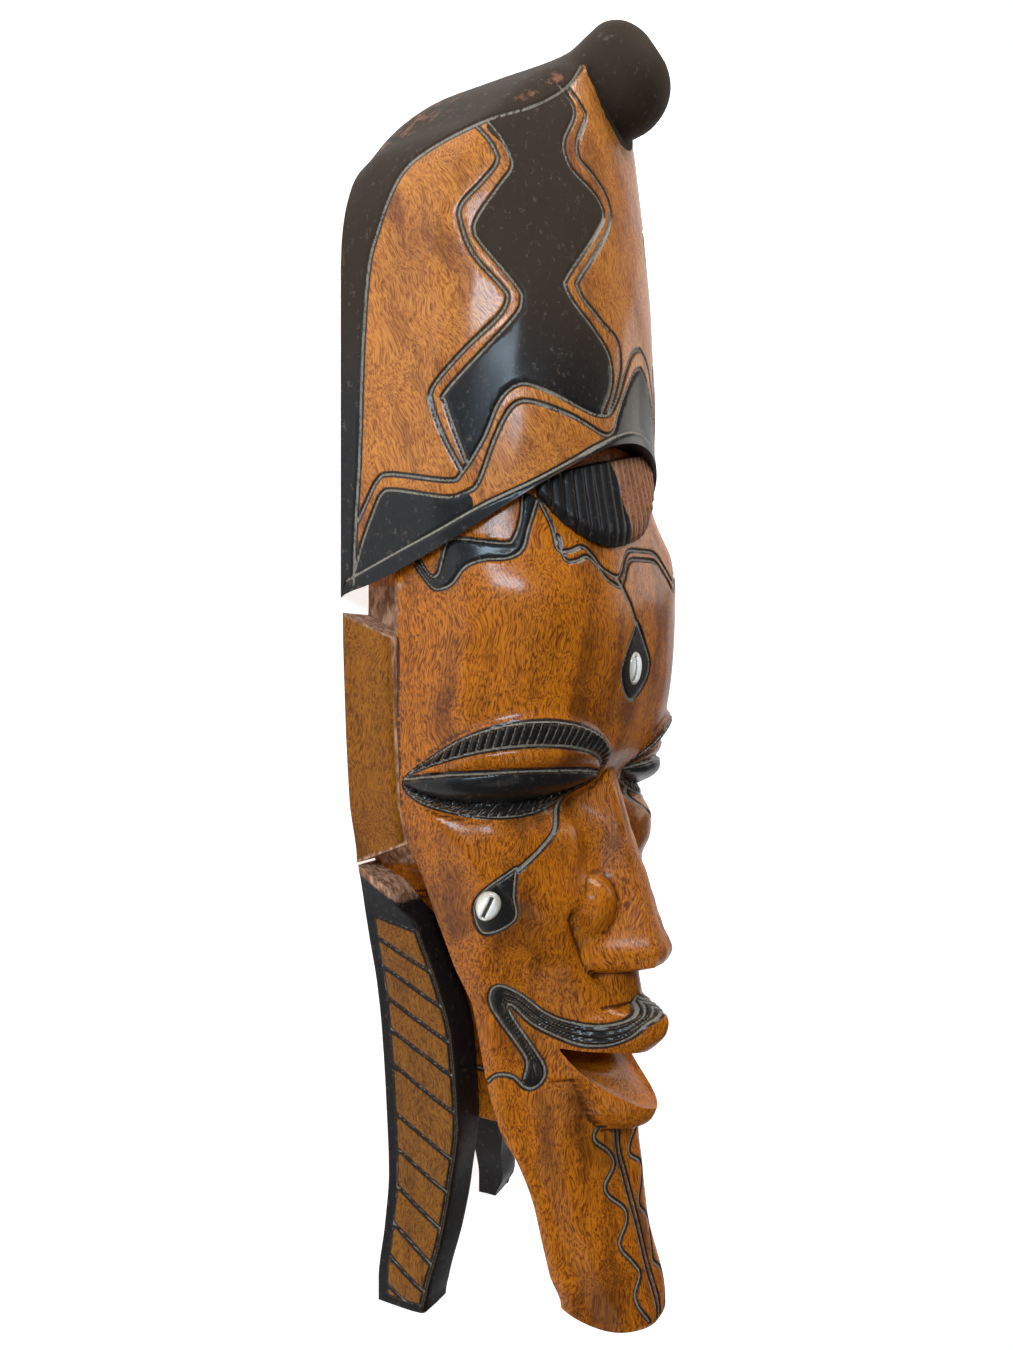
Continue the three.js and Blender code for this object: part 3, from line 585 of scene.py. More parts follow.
def hat_marks(x, height, z):
    u = np.abs(hat_girth.side(np.arctan2(x, np.maximum(z / hat_lean(height), 0.01)), height))
    gouge, black = marks(u, height, hat_lines, hat_fields)
    border = np.maximum.reduce([
        corners([tuple(p) for p in drawn(edge)] + around, u, height)
        for edge, around in ((TOP_BORDER, AROUND_TOP), (BRIM_BORDER, AROUND_BRIM))
    ])
    foot = KNOB_RADIUS + 1 - from_knob(x, height, z)
    gouge = np.where(foot > -0.5, NONE_NEAR, gouge)
    return gouge, np.maximum.reduce([black, border, foot]), np.maximum(border, foot)


hat_girth = Girth(np.array([300.0, 700.0]), hat_shape)
hat_rings = []
for angle in hat_girth.even_angles(400, HAT_COLUMNS) * HAT_TURN_SHARE:
    x, depth, _, _ = section(angle, HAT_HALF_WIDTH, HAT_DEPTH, HAT_SQUARENESS)
    brim, crown = brim_height(x), at(GABLE, abs(x), 1)
    edge = min(CROWN_EDGE, depth * 0.5)
    wall_heights = np.linspace(brim, crown - edge, WALL_ROWS)
    wall = np.stack([np.full(WALL_ROWS, x), wall_heights, depth * hat_lean(wall_heights)], axis=1)
    top = depth * hat_lean(crown)
    turn = np.linspace(0, np.pi / 2, ROUND_ROWS + 1)[1:]
    round_z = top - edge * (1 - np.cos(turn))
    round_y = crown - edge * (1 - np.sin(turn)) + CROWN_RISE * round_z / HAT_DEPTH
    crown_z = np.linspace(round_z[-1], 0, CROWN_ROWS)[1:]
    crown_y = crown + CROWN_RISE * crown_z / HAT_DEPTH
    crown_y = crown_y - REAR_DROP * np.clip(1 - crown_z / REAR_ROUND, 0, 1) ** 2
    rim = [np.stack([np.full(len(y), x), y, z], axis=1) for y, z in ((round_y, round_z), (crown_y, crown_z))]
    hat_rings.append(np.vstack([wall, *rim, [(x, brim, 0)]]))
hat = tube(WALL_ROWS + ROUND_ROWS + CROWN_ROWS, HAT_COLUMNS, hat_rings, "hat")

# Knob: a bun of black-stained wood that leans forward off the front of the crown. It is carved
# from the same block, and its sizes stand with the hat, whose black runs round its foot.
KNOB_COLUMNS = 56
knob_turns = np.radians(np.linspace(0, 78, 16))
knob_profile = [(KNOB_RADIUS * 0.85, -KNOB_ROOT), (KNOB_RADIUS * 0.93, -KNOB_ROOT * 0.5)]
knob_profile += list(zip(KNOB_RADIUS * np.cos(knob_turns) ** 0.8, KNOB_REACH * np.sin(knob_turns) ** 0.85))
knob_rings = []
for radius, out in knob_profile:
    spin = np.linspace(0, 2 * np.pi, KNOB_COLUMNS, endpoint=False)
    sideways, upward = radius * KNOB_HALF_WIDTH / KNOB_RADIUS * np.cos(spin), radius * np.sin(spin)
    knob_rings.append(np.stack([
        sideways,
        KNOB_HEIGHT + out * np.sin(KNOB_TILT) + upward * np.cos(KNOB_TILT),
        KNOB_DEPTH + out * np.cos(KNOB_TILT) - upward * np.sin(KNOB_TILT),
    ], axis=1))
knob = tube(KNOB_COLUMNS, len(knob_rings), knob_rings, "knob")

# Forelock: a fringe of round ribs under the brim, carved in one with the forehead. It is stained
# black on its right and left bare on its left, with hairlines between the ribs.
FORELOCK_FROM, FORELOCK_TO, FORELOCK_TOP, FORELOCK_DROP = radians(-43), radians(24), 399, 33
FORELOCK_PROUD, RIBS, RIB_GAP, RIB_DEPTH, STEPS_PER_RIB = 4, 17, 5.4, 2.1, 8
FORELOCK_BLACK_EDGE, FORELOCK_EDGE_LEAN = (-20, 393), 8 / 35
# Rows down the fringe, how far its right end starts lower, how far it runs on under the brim and
# below its edge, and how deep it is rooted in the forehead.
FORELOCK_ROWS, FORELOCK_SLANT, FORELOCK_ABOVE, FORELOCK_BELOW, FORELOCK_ROOT = 15, 24, 6, 8, 6


def forelock_marks(x, height, z):
    edge = FORELOCK_BLACK_EDGE[0] + (FORELOCK_BLACK_EDGE[1] - height) * FORELOCK_EDGE_LEAN
    black = edge - face_side(x, height, z)
    rib = (face_angle(x, height, z) - FORELOCK_FROM) / (FORELOCK_TO - FORELOCK_FROM) * RIBS
    groove = np.abs(rib - np.rint(rib)) * RIB_GAP - 0.3
    return np.where(black > -0.5, groove, NONE_NEAR), black


forelock_rings = []
for k in range(RIBS * STEPS_PER_RIB + 1):
    u = k / (RIBS * STEPS_PER_RIB)
    angle = FORELOCK_FROM + (FORELOCK_TO - FORELOCK_FROM) * u
    fall = FORELOCK_DROP * (1 - abs(2 * u - 1) ** 2.4)
    start = FORELOCK_TOP - FORELOCK_SLANT * (1 - u) ** 1.5
    rib = RIB_DEPTH * (abs(np.sin(np.pi * k / STEPS_PER_RIB)) ** 0.5 - 0.65)
    share = np.linspace(0, 1, FORELOCK_ROWS)
    heights = start + FORELOCK_ABOVE - (fall + FORELOCK_BELOW) * share
    x, y, z = face_point(np.full(FORELOCK_ROWS, angle), heights)
    proud = (FORELOCK_PROUD + rib) * np.minimum(1, 0.35 + 4 * (1 - share))
    out = np.stack([x + np.sin(angle) * proud, y, z + np.cos(angle) * proud], axis=1)
    root = np.stack([x - np.sin(angle) * FORELOCK_ROOT, y, z - np.cos(angle) * FORELOCK_ROOT], axis=1)
    forelock_rings.append(np.vstack([out, root[::-1]]))
forelock = tube(2 * FORELOCK_ROWS, len(forelock_rings), forelock_rings, "forelock")

# Ear blocks: plain rounded blocks of bare wood beside the face, with a saw cut above and below.
# They are left standing in the half log, and reach down to its back rim.
EAR = np.array([[214, 74], [242, 79.5], [286, 83], [324, 84.5]])
EAR_THICK, EAR_DEPTH, EAR_TOP_SLOPE, EAR_LOW_SLOPE = 24, 25, 11, 10
EAR_ROWS, EAR_END_ROWS = 36, 9


def ear_outline(height, i):
    """One ring of the right block. Its end rows slope more and more, to the slope of the saw cut."""
    outer = at(EAR, height, 1)
    low, top = (max(0, 1 - rows / EAR_END_ROWS) for rows in (i, EAR_ROWS - 1 - i))
    slope = EAR_LOW_SLOPE * low - EAR_TOP_SLOPE * top
    turn = np.radians(np.linspace(0, 90, 9))
    x = np.concatenate([[outer, outer, outer], outer - 3.5 + 3.5 * np.cos(turn), [outer - EAR_THICK] * 4])
    z = np.concatenate([[0, 7, 14], EAR_DEPTH - 6 + 6 * np.sin(turn), [EAR_DEPTH, 16, 8, 0]])
    return np.stack([-x, height + slope * z / EAR_DEPTH, z], axis=1)


ear_heights = np.linspace(EAR[0, 0], EAR[-1, 0], EAR_ROWS)
ear_rings = [ear_outline(height, i) for i, height in enumerate(ear_heights)]
mirror = np.array([-1, 1, 1])
ear_right = tube(16, EAR_ROWS, ear_rings, "ear_block")
ear_left = tube(16, EAR_ROWS, [ring * mirror for ring in ear_rings], "ear_block")

# Side locks: two long curved bars of hair under the ear blocks, black with a ribbed panel on
# their outer sides. The left one is the thinner and ends higher.
# Height, outer face, depth of the right lock, depth of the left one.
LOCK = np.array([
    [12, 57, 24, 9], [22, 57, 26, 13], [43, 52, 30, 15], [66, 48.5, 33, 20], [98, 50.5, 38, 28],
    [136, 54.5, 37, 33], [158, 58.5, 33, 31], [178, 64, 28.5, 28.5], [193, 68, 25, 25],
    [204, 71, 20, 20], [211, 73, 15, 15],
])
LOCK_THICK, LEFT_LOCK_SHORTER = 18, 8
# The ribs of the panel: where each starts at the back edge, and how steeply it falls.
LOCK_RIBS, LOCK_RIB_FALL = (182, 168, 153, 138, 121, 98, 81, 64, 48, 35, 23), 0.55
# A rib's height to its square distance, and the edges of the panel.
LOCK_RIB_SQUARE = 0.88
LOCK_PANEL_BACK, LOCK_PANEL_FRONT, LOCK_PANEL_IN = 4.2, 1.8, 2.2
LOCK_PANEL_TOP, LOCK_PANEL_TOP_LEAN, LOCK_PANEL_FOOT = 191, 0.25, 15.0
LOCK_FOOT, LOCK_TOP_FROM, LOCK_TOP, LOCK_TOP_RISE, LOCK_TOP_SLOPE = 12, 186, 211, 2, 0.6
LOCK_ROWS, LEFT_LOCK_FADE = 72, 72


def lock_marks(x, height, z):
    outer = at(LOCK, height, 1)
    width = np.where(x < 0, at(LOCK, height, 2), at(LOCK, height, 3))
    side = np.minimum(z - LOCK_PANEL_BACK, width - LOCK_PANEL_FRONT - z)
    panel = np.minimum.reduce([side, LOCK_PANEL_TOP - height - LOCK_PANEL_TOP_LEAN * z,
                               height - LOCK_PANEL_FOOT, LOCK_PANEL_IN - (outer - np.abs(x))])
    ribs = np.min([np.abs(height + LOCK_RIB_FALL * z - start) for start in LOCK_RIBS], axis=0)
    ribs = ribs * LOCK_RIB_SQUARE
    gouge = np.minimum(np.maximum(ribs, -panel) - 0.6, np.abs(panel) - 0.5)
    return np.where(outer - np.abs(x) > 3, NONE_NEAR, gouge), -panel


def lock_outline(height, outer, width):
    turn = np.radians(np.linspace(0, 90, 5))
    x = np.concatenate([[outer, outer + 0.4, outer + 0.6, outer + 0.5], outer - 1.7 + 1.8 * np.cos(turn),
                        [outer - 10, outer - LOCK_THICK, outer - LOCK_THICK, outer - LOCK_THICK]])
    z = np.concatenate([[0, width * 0.25, width * 0.5, width * 0.75], width - 2.5 + 2.5 * np.sin(turn),
                        [width + 0.6, width + 1, width * 0.5, 0]])
    cut = smooth_step(height, LOCK_TOP_FROM, LOCK_TOP)
    return np.stack([-x, height + cut * (LOCK_TOP_RISE - LOCK_TOP_SLOPE * z), z], axis=1)


right_rings, left_rings = [], []
for height in np.linspace(LOCK_FOOT, LOCK_TOP, LOCK_ROWS):
    outer, right, left = (at(LOCK, height, column) for column in (1, 2, 3))
    raised = max(height, height + LEFT_LOCK_SHORTER * (1 - height / LEFT_LOCK_FADE))
    right_rings.append(lock_outline(height, outer, right))
    left_rings.append(lock_outline(raised, outer, left) * mirror)
lock_right = tube(13, LOCK_ROWS, right_rings, "lock")
lock_left = tube(13, LOCK_ROWS, left_rings, "lock")

# Hollow: the back is dug out with a gouge from hat to jaw, and the parted lips open into it.
HOLLOW = np.array([
    [-4, 25, 77], [52, 26, 68], [84, 23, 55], [115, 22, 50], [165, 30, 54], [210, 46, 58], [255, 57, 64],
    [300, 58, 80], [400, 62, 80], [480, 64, 82], [530, 40, 76], [560, 14, 62],
])
HOLLOW_ROWS, HOLLOW_COLUMNS, HOLLOW_SQUARENESS, HOLLOW_BELOW = 121, 45, 2.4, -5
MOUTH_HEIGHT, MOUTH_HALF, MOUTH_CORNER, MOUTH_GAPE = 119, 32, 131, 6.5
MOUTH_COLUMNS, MOUTH_FROM, MOUTH_FRONT, MOUTH_TO = 61, 30, 113, 140
# The lower lip is scooped out on top, from its rim down into the mouth.
SCOOP_DROP, SCOOP_REACH = 13, 21
hollow_rings = []
for height in np.linspace(HOLLOW[0, 0], HOLLOW[-1, 0], HOLLOW_ROWS):
    half = np.interp(height, HOLLOW[:, 0], HOLLOW[:, 1])
    reach = np.interp(height, HOLLOW[:, 0], HOLLOW[:, 2])
    x, z, _, _ = section(np.radians(np.linspace(-90, 90, HOLLOW_COLUMNS)), half, reach, HOLLOW_SQUARENESS)
    arc = np.stack([x, np.full(HOLLOW_COLUMNS, height), z], axis=1)
    hollow_rings.append(np.vstack([arc, [(half, height, HOLLOW_BELOW), (-half, height, HOLLOW_BELOW)]]))
hollow = tube(HOLLOW_COLUMNS + 2, HOLLOW_ROWS, hollow_rings, "hollow")

mouth_rings = []
for x in np.linspace(-MOUTH_HALF, MOUTH_HALF, MOUTH_COLUMNS):
    u = abs(x) / MOUTH_HALF
    middle = MOUTH_HEIGHT + (MOUTH_CORNER - MOUTH_HEIGHT) * u**1.6
    gape = 0.4 + MOUTH_GAPE * (1 - u**2)
    front = MOUTH_FRONT - (MOUTH_FRONT - LIP_BACK) * (abs(x) / LIP_HALF) ** 1.6
    depths = np.concatenate([np.linspace(MOUTH_FROM, front - SCOOP_REACH - 1, 5),
                             front + np.linspace(-SCOOP_REACH, 3, 13), [MOUTH_TO]])
    spread = np.interp(depths, [30, 130], [0.6, 1.0])
    drop = SCOOP_DROP * (1 - 0.7 * u**2) * (1 - u**10) * smooth_step(depths, front - SCOOP_REACH, front + 1)
    same_x = np.full(len(depths), x)
    upper = np.stack([same_x, middle + gape * spread, depths], axis=1)
    lower = np.stack([same_x, middle - gape * spread - drop, depths], axis=1)
    mouth_rings.append(np.vstack([upper, lower[::-1]]))
mouth = tube(2 * len(depths), MOUTH_COLUMNS, mouth_rings, "mouth")

# The pieces are one block of wood, so they are joined here into a single skin, and the hollow
# and the mouth are cut out of it.
carved_on, dug_out = [hat, knob, forelock, ear_right, ear_left, lock_right, lock_left], [hollow, mouth]
for other in carved_on + dug_out:
    join = mask.modifiers.new(other.name, "BOOLEAN")
    join.object, join.solver = other, "MANIFOLD"
    join.operation = "UNION" if other in carved_on else "DIFFERENCE"
shapes = bpy.context.evaluated_depsgraph_get()
joined = bpy.data.meshes.new_from_object(mask.evaluated_get(shapes), depsgraph=shapes)
for shape in [mask, *carved_on, *dug_out]:
    bpy.data.objects.remove(shape)

WORKED_PARTS = {"face": face_marks, "hat": hat_marks, "lock": lock_marks, "forelock": forelock_marks}


def skin_marks(part, x, height, z):
    """The gouge and the black at each point, by the part of the carving that it is on."""
    gouge, black = np.full(len(x), NONE_NEAR), np.full(len(x), -NONE_NEAR)
    for name, worked in WORKED_PARTS.items():
        here = part == PARTS.index(name)
        found = worked(x[here], height[here], z[here])
        gouge[here], black[here] = found[:2]
    black[part == PARTS.index("knob")] = NONE_NEAR
    return gouge, black


# Wood left bare by the saw or the chisel: the ends and the front of the ear blocks, the tops of
# the locks, the notches above and below the ear blocks as middle and half height, and the end of
# the beard. A pair of numbers is where the bare wood starts and where it is full.
EAR_MIDDLE, EAR_BARE_END, EAR_BARE_FRONT = 269, (53.6, 54.6), (23.2, 24.6)
LOCK_BARE_TOP, LOCK_BARE_FALL = (207.0, 208.5), 0.55
NOTCHES, NOTCH_DEPTH, NOTCH_WAVE = ((325, 13), (212, 12)), 26.5, 1.5
NOTCH_ASIDE, NOTCH_EDGE = 58, (-0.5, 1.5)
BEARD_BARE_END, BEARD_BARE_DEPTH = (-4.5, -3.5), 113


def cut_wood(name, x, height, z):
    """1 on bare cut wood, by the part of the carving."""
    if name == "ear_block":
        slope = np.where(height > EAR_MIDDLE, -EAR_TOP_SLOPE, EAR_LOW_SLOPE) * z / EAR_DEPTH
        end = smooth_step(np.abs(height - slope - EAR_MIDDLE), *EAR_BARE_END)
        return np.maximum(end, smooth_step(z, *EAR_BARE_FRONT))
    if name == "lock":
        return smooth_step(height + LOCK_BARE_FALL * z, *LOCK_BARE_TOP)
    if name == "face":
        inside = np.maximum.reduce([half - np.abs(height - middle) for middle, half in NOTCHES])
        low = NOTCH_DEPTH - z + NOTCH_WAVE * np.sin(height)
        band = np.minimum.reduce([low, np.abs(x) - NOTCH_ASIDE, inside])
        end = smooth_step(-height, *BEARD_BARE_END) * (z < BEARD_BARE_DEPTH)
        return np.maximum(smooth_step(band, *NOTCH_EDGE), end)
    return np.zeros(len(x))


bm = bmesh.new()
bm.from_mesh(joined)
bmesh.ops.remove_doubles(bm, verts=bm.verts, dist=0.05)
bmesh.ops.dissolve_degenerate(bm, edges=bm.edges, dist=0.02)


def smoothed(verts, factor, times):
    every_way = {"use_axis_x": True, "use_axis_y": True, "use_axis_z": True}
    for _ in range(times):
        bmesh.ops.smooth_vert(bm, verts=verts, factor=factor, **every_way)


# The skin is cut finer beside the gouged lines, in two rounds down to edges of this length.
COARSE, FINEST = 2.0, 0.9
for step in (COARSE, FINEST):
    bm.verts.index_update()
    spots = np.array([v.co for v in bm.verts])
    part = np.array([v.link_faces[0].material_index if v.link_faces else 0 for v in bm.verts])
    gouge, _ = skin_marks(part, *spots.T)
    cut = []
    for edge in bm.edges:
        length = edge.calc_length()
        if length > step and min(gouge[v.index] for v in edge.verts) < 0.3 + 0.3 * length:
            cut.append(edge)
    bmesh.ops.subdivide_edges(bm, edges=cut, cuts=1, use_grid_fill=True)
bmesh.ops.triangulate(bm, faces=bm.faces)
# The knob runs into the crown over a soft neck behind, and the rest keeps its crisp edges.
NECK_DEPTH, NECK_RINGS, NECK_SMOOTHINGS, CRISP = 86, 4, 14, 0.5
hat_and_knob = {PARTS.index("hat"), PARTS.index("knob")}
neck = {v for v in bm.verts
        if v.co.z < NECK_DEPTH and hat_and_knob <= {f.material_index for f in v.link_faces}}
for _ in range(NECK_RINGS):
    neck |= {e.other_vert(v) for v in neck for e in v.link_edges}
smoothed(list(neck), 0.5, NECK_SMOOTHINGS)
plain = [v for v in bm.verts if len({f.material_index for f in v.link_faces}) == 1
         and all(e.calc_face_angle(0) < CRISP for e in v.link_edges)]
smoothed(plain, 0.4, 2)
bm.normal_update()
skin = bpy.data.meshes.new("carved_mask")
bm.to_mesh(skin)
bm.free()

# The band where handling has rubbed the black thin, along the edge of the crown: its middle and
# half width against the gable, and how far from the middle line and from the border it comes and goes.
WORN_MIDDLE, WORN_HALF, WORN_FROM, WORN_TO, WORN_INSIDE = -1, 3, (26, 40), (60, 72), (2, 4)


def worn(name, x, height, z):
    """1 in the middle of the rubbed band, which only the hat has."""
    if name != "hat":
        return np.zeros(len(x))
    above = height - at(GABLE, np.abs(x), 1)
    border = hat_marks(x, height, z)[2]
    return (np.exp(-(((above - WORN_MIDDLE) / WORN_HALF) ** 2)) * smooth_step(np.abs(x), *WORN_FROM)
            * smooth_step(border, *WORN_INSIDE) * (1 - smooth_step(np.abs(x), *WORN_TO)))


# The gouge sinks its lines into the skin, and the panels of the hat lie a little under its border.
GOUGE_DEPTH, PANEL_DEPTH, KNIFE_WAVE = 0.75, 0.9, 0.16


def read_all(items, name, width=1, kind=float):
    values = np.zeros(len(items) * width, kind)
    items.foreach_get(name, values)
    return values.reshape(-1, width) if width > 1 else values


spots, normals = read_all(skin.vertices, "co", 3), read_all(skin.vertex_normals, "vector", 3)
corner_vertex = read_all(skin.loops, "vertex_index", kind=np.int32)
corner_part = np.repeat(read_all(skin.polygons, "material_index", kind=np.int32), 3)
worked = {name: np.zeros(len(corner_vertex)) for name in ("gouge", "black", "cut", "worn")}
on_back = np.repeat((spots[corner_vertex, 2] < 0.1).reshape(-1, 3).all(axis=1), 3)
sunk = np.zeros(len(spots))
for number, name in enumerate(PARTS):
    here = corner_part == number
    used, back = np.unique(corner_vertex[here], return_inverse=True)
    x, height, z = spots[used].T
    gouge, black = skin_marks(np.full(len(used), number), x, height, z)
    worked["gouge"][here], worked["black"][here] = gouge[back], black[back]
    worked["cut"][here] = cut_wood(name, x, height, z)[back]
    worked["worn"][here] = worn(name, x, height, z)[back]
    if name != "hollow":
        worked["black"][here & on_back] = -NONE_NEAR
        worked["cut"][here & on_back] = 1
    depth = GOUGE_DEPTH * np.clip(0.45 - gouge, 0, 1) ** 0.8
    if name == "hat":
        border = hat_marks(x, height, z)[2]
        depth = depth + PANEL_DEPTH * (1 - smooth_step(border, -1.2, 0.3))
    sunk[used] = np.maximum(sunk[used], depth)
x, height, z = spots.T
wave = np.sin(x / 9 + height / 23) * np.sin(height / 17 - z / 11)
wave = wave + 0.6 * np.sin(x / 5.1 - height / 7.7 + z / 6.3)
sunk += KNIFE_WAVE * wave * smooth_step(z, 1, 6)
spots = spots - normals * sunk[:, None]
spots[:, 1] -= MIDDLE_HEIGHT
skin.vertices.foreach_set("co", (spots * 0.001).ravel())
skin.update()

# Edges wear: how sharply the skin bends outward at each point, in turns per millimetre. The wood reads it to
# wear sharp outward edges paler, and to darken inward creases, which is painted shade.
normals = read_all(skin.vertex_normals, "vector", 3)
ends = read_all(skin.edges, "vertices", 2, np.int32)
apart = spots[ends[:, 0]] - spots[ends[:, 1]]
length = (apart**2).sum(axis=1) + 0.05
bend, shares = np.zeros(len(spots)), np.zeros(len(spots))
for one, way in ((0, 1), (1, -1)):
    np.add.at(bend, ends[:, one], way * (normals[ends[:, one]] * apart).sum(axis=1) / length)
    np.add.at(shares, ends[:, one], 1)
worked["bend"] = (bend / np.maximum(shares, 1))[corner_vertex]
for name, values in worked.items():
    skin.attributes.new(name, "FLOAT", "CORNER").data.foreach_set("value", values.astype(np.float32))


# Wood: waxed golden brown hardwood. One material dresses the carving, and reads from the skin
# how far each point is from a gouge and from the edge of the black stain.
class Worked:
    """A number or colour worked out over the surface. Arithmetic on it adds Math nodes."""

    def __init__(self, finish, socket):
        self.finish, self.socket = finish, socket

    def math(self, operation, *values):
        return self.finish.node("Math", {"operation": operation}, dict(enumerate(values)))

    def __add__(self, other):
        return self.math("ADD", self, other)

    def __sub__(self, other):
        return self.math("SUBTRACT", self, other)

    def __rsub__(self, other):
        return self.math("SUBTRACT", other, self)

    def __mul__(self, other):
        return self.math("MULTIPLY", self, other)

    __radd__, __rmul__ = __add__, __mul__


class Finish:
    """A material that is written as expressions."""

    def __init__(self, name):
        self.material = bpy.data.materials.new(name)
        self.material.use_nodes = True
        self.tree = self.material.node_tree
        self.shader = self.tree.nodes["Principled BSDF"]
        self.place = self.node("TexCoord", out="Object")

    def node(self, kind, settings=None, sockets=None, out=0):
        node = self.tree.nodes.new("ShaderNode" + kind)
        for key, value in (settings or {}).items():
            setattr(node, key, value)
        for key, value in (sockets or {}).items():
            if isinstance(value, Worked):
                self.tree.links.new(value.socket, node.inputs[key])
            else:
                node.inputs[key].default_value = value
        return Worked(self, node.outputs[out])

    def set(self, **values):
        for key, value in values.items():
            name = key.replace("_", " ")
            if isinstance(value, Worked):
                self.tree.links.new(value.socket, self.shader.inputs[name])
            else:
                self.shader.inputs[name].default_value = value

    def read(self, name):
        return self.node("Attribute", {"attribute_name": name}, out="Fac")

    def stretched(self, scale, shift=(0, 0, 0)):
        return self.node("Mapping", {}, {"Vector": self.place, "Scale": scale, "Location": shift})

    def noise(self, place, detail=2.0, rough=0.5):
        sockets = {"Vector": place, "Scale": 1.0, "Detail": detail, "Roughness": rough}
        return self.node("TexNoise", {}, sockets)

    def ramp(self, value, low, high):
        """0 below low, 1 above high, and smooth between."""
        settings = {"interpolation_type": "SMOOTHSTEP"}
        sockets = {"Value": value, "From Min": low, "From Max": high}
        return self.node("MapRange", settings, sockets)

    def mix(self, share, first, second):
        first, second = (v if isinstance(v, Worked) else (*v, 1) for v in (first, second))
        return self.node("Mix", {"data_type": "RGBA"}, {0: share, 6: first, 7: second}, out=2)

    def bump(self, height, distance):
        return self.node("Bump", {}, {"Height": height, "Distance": distance, "Strength": 1.0})


GOLDEN, HONEY, UMBER = (0.165, 0.029, 0.001), (0.50, 0.138, 0.004), (0.045, 0.008, 0.001)
RUBBED = (0.24, 0.095, 0.045)
DRY_STAIN = (0.036, 0.021, 0.012)
STAIN, STAIN_FLECK, WORN_STAIN = (0.007, 0.006, 0.006), (0.020, 0.014, 0.010), (0.12, 0.05, 0.018)
DUST, SCRAPED, SCRAPED_DARK = (0.13, 0.10, 0.075), (0.30, 0.25, 0.19), (0.17, 0.135, 0.10)
BARE, BARE_DARK = (0.56, 0.30, 0.18), (0.20, 0.085, 0.040)
LOG_CENTRE, RING_GAP = -0.045, 0.0031


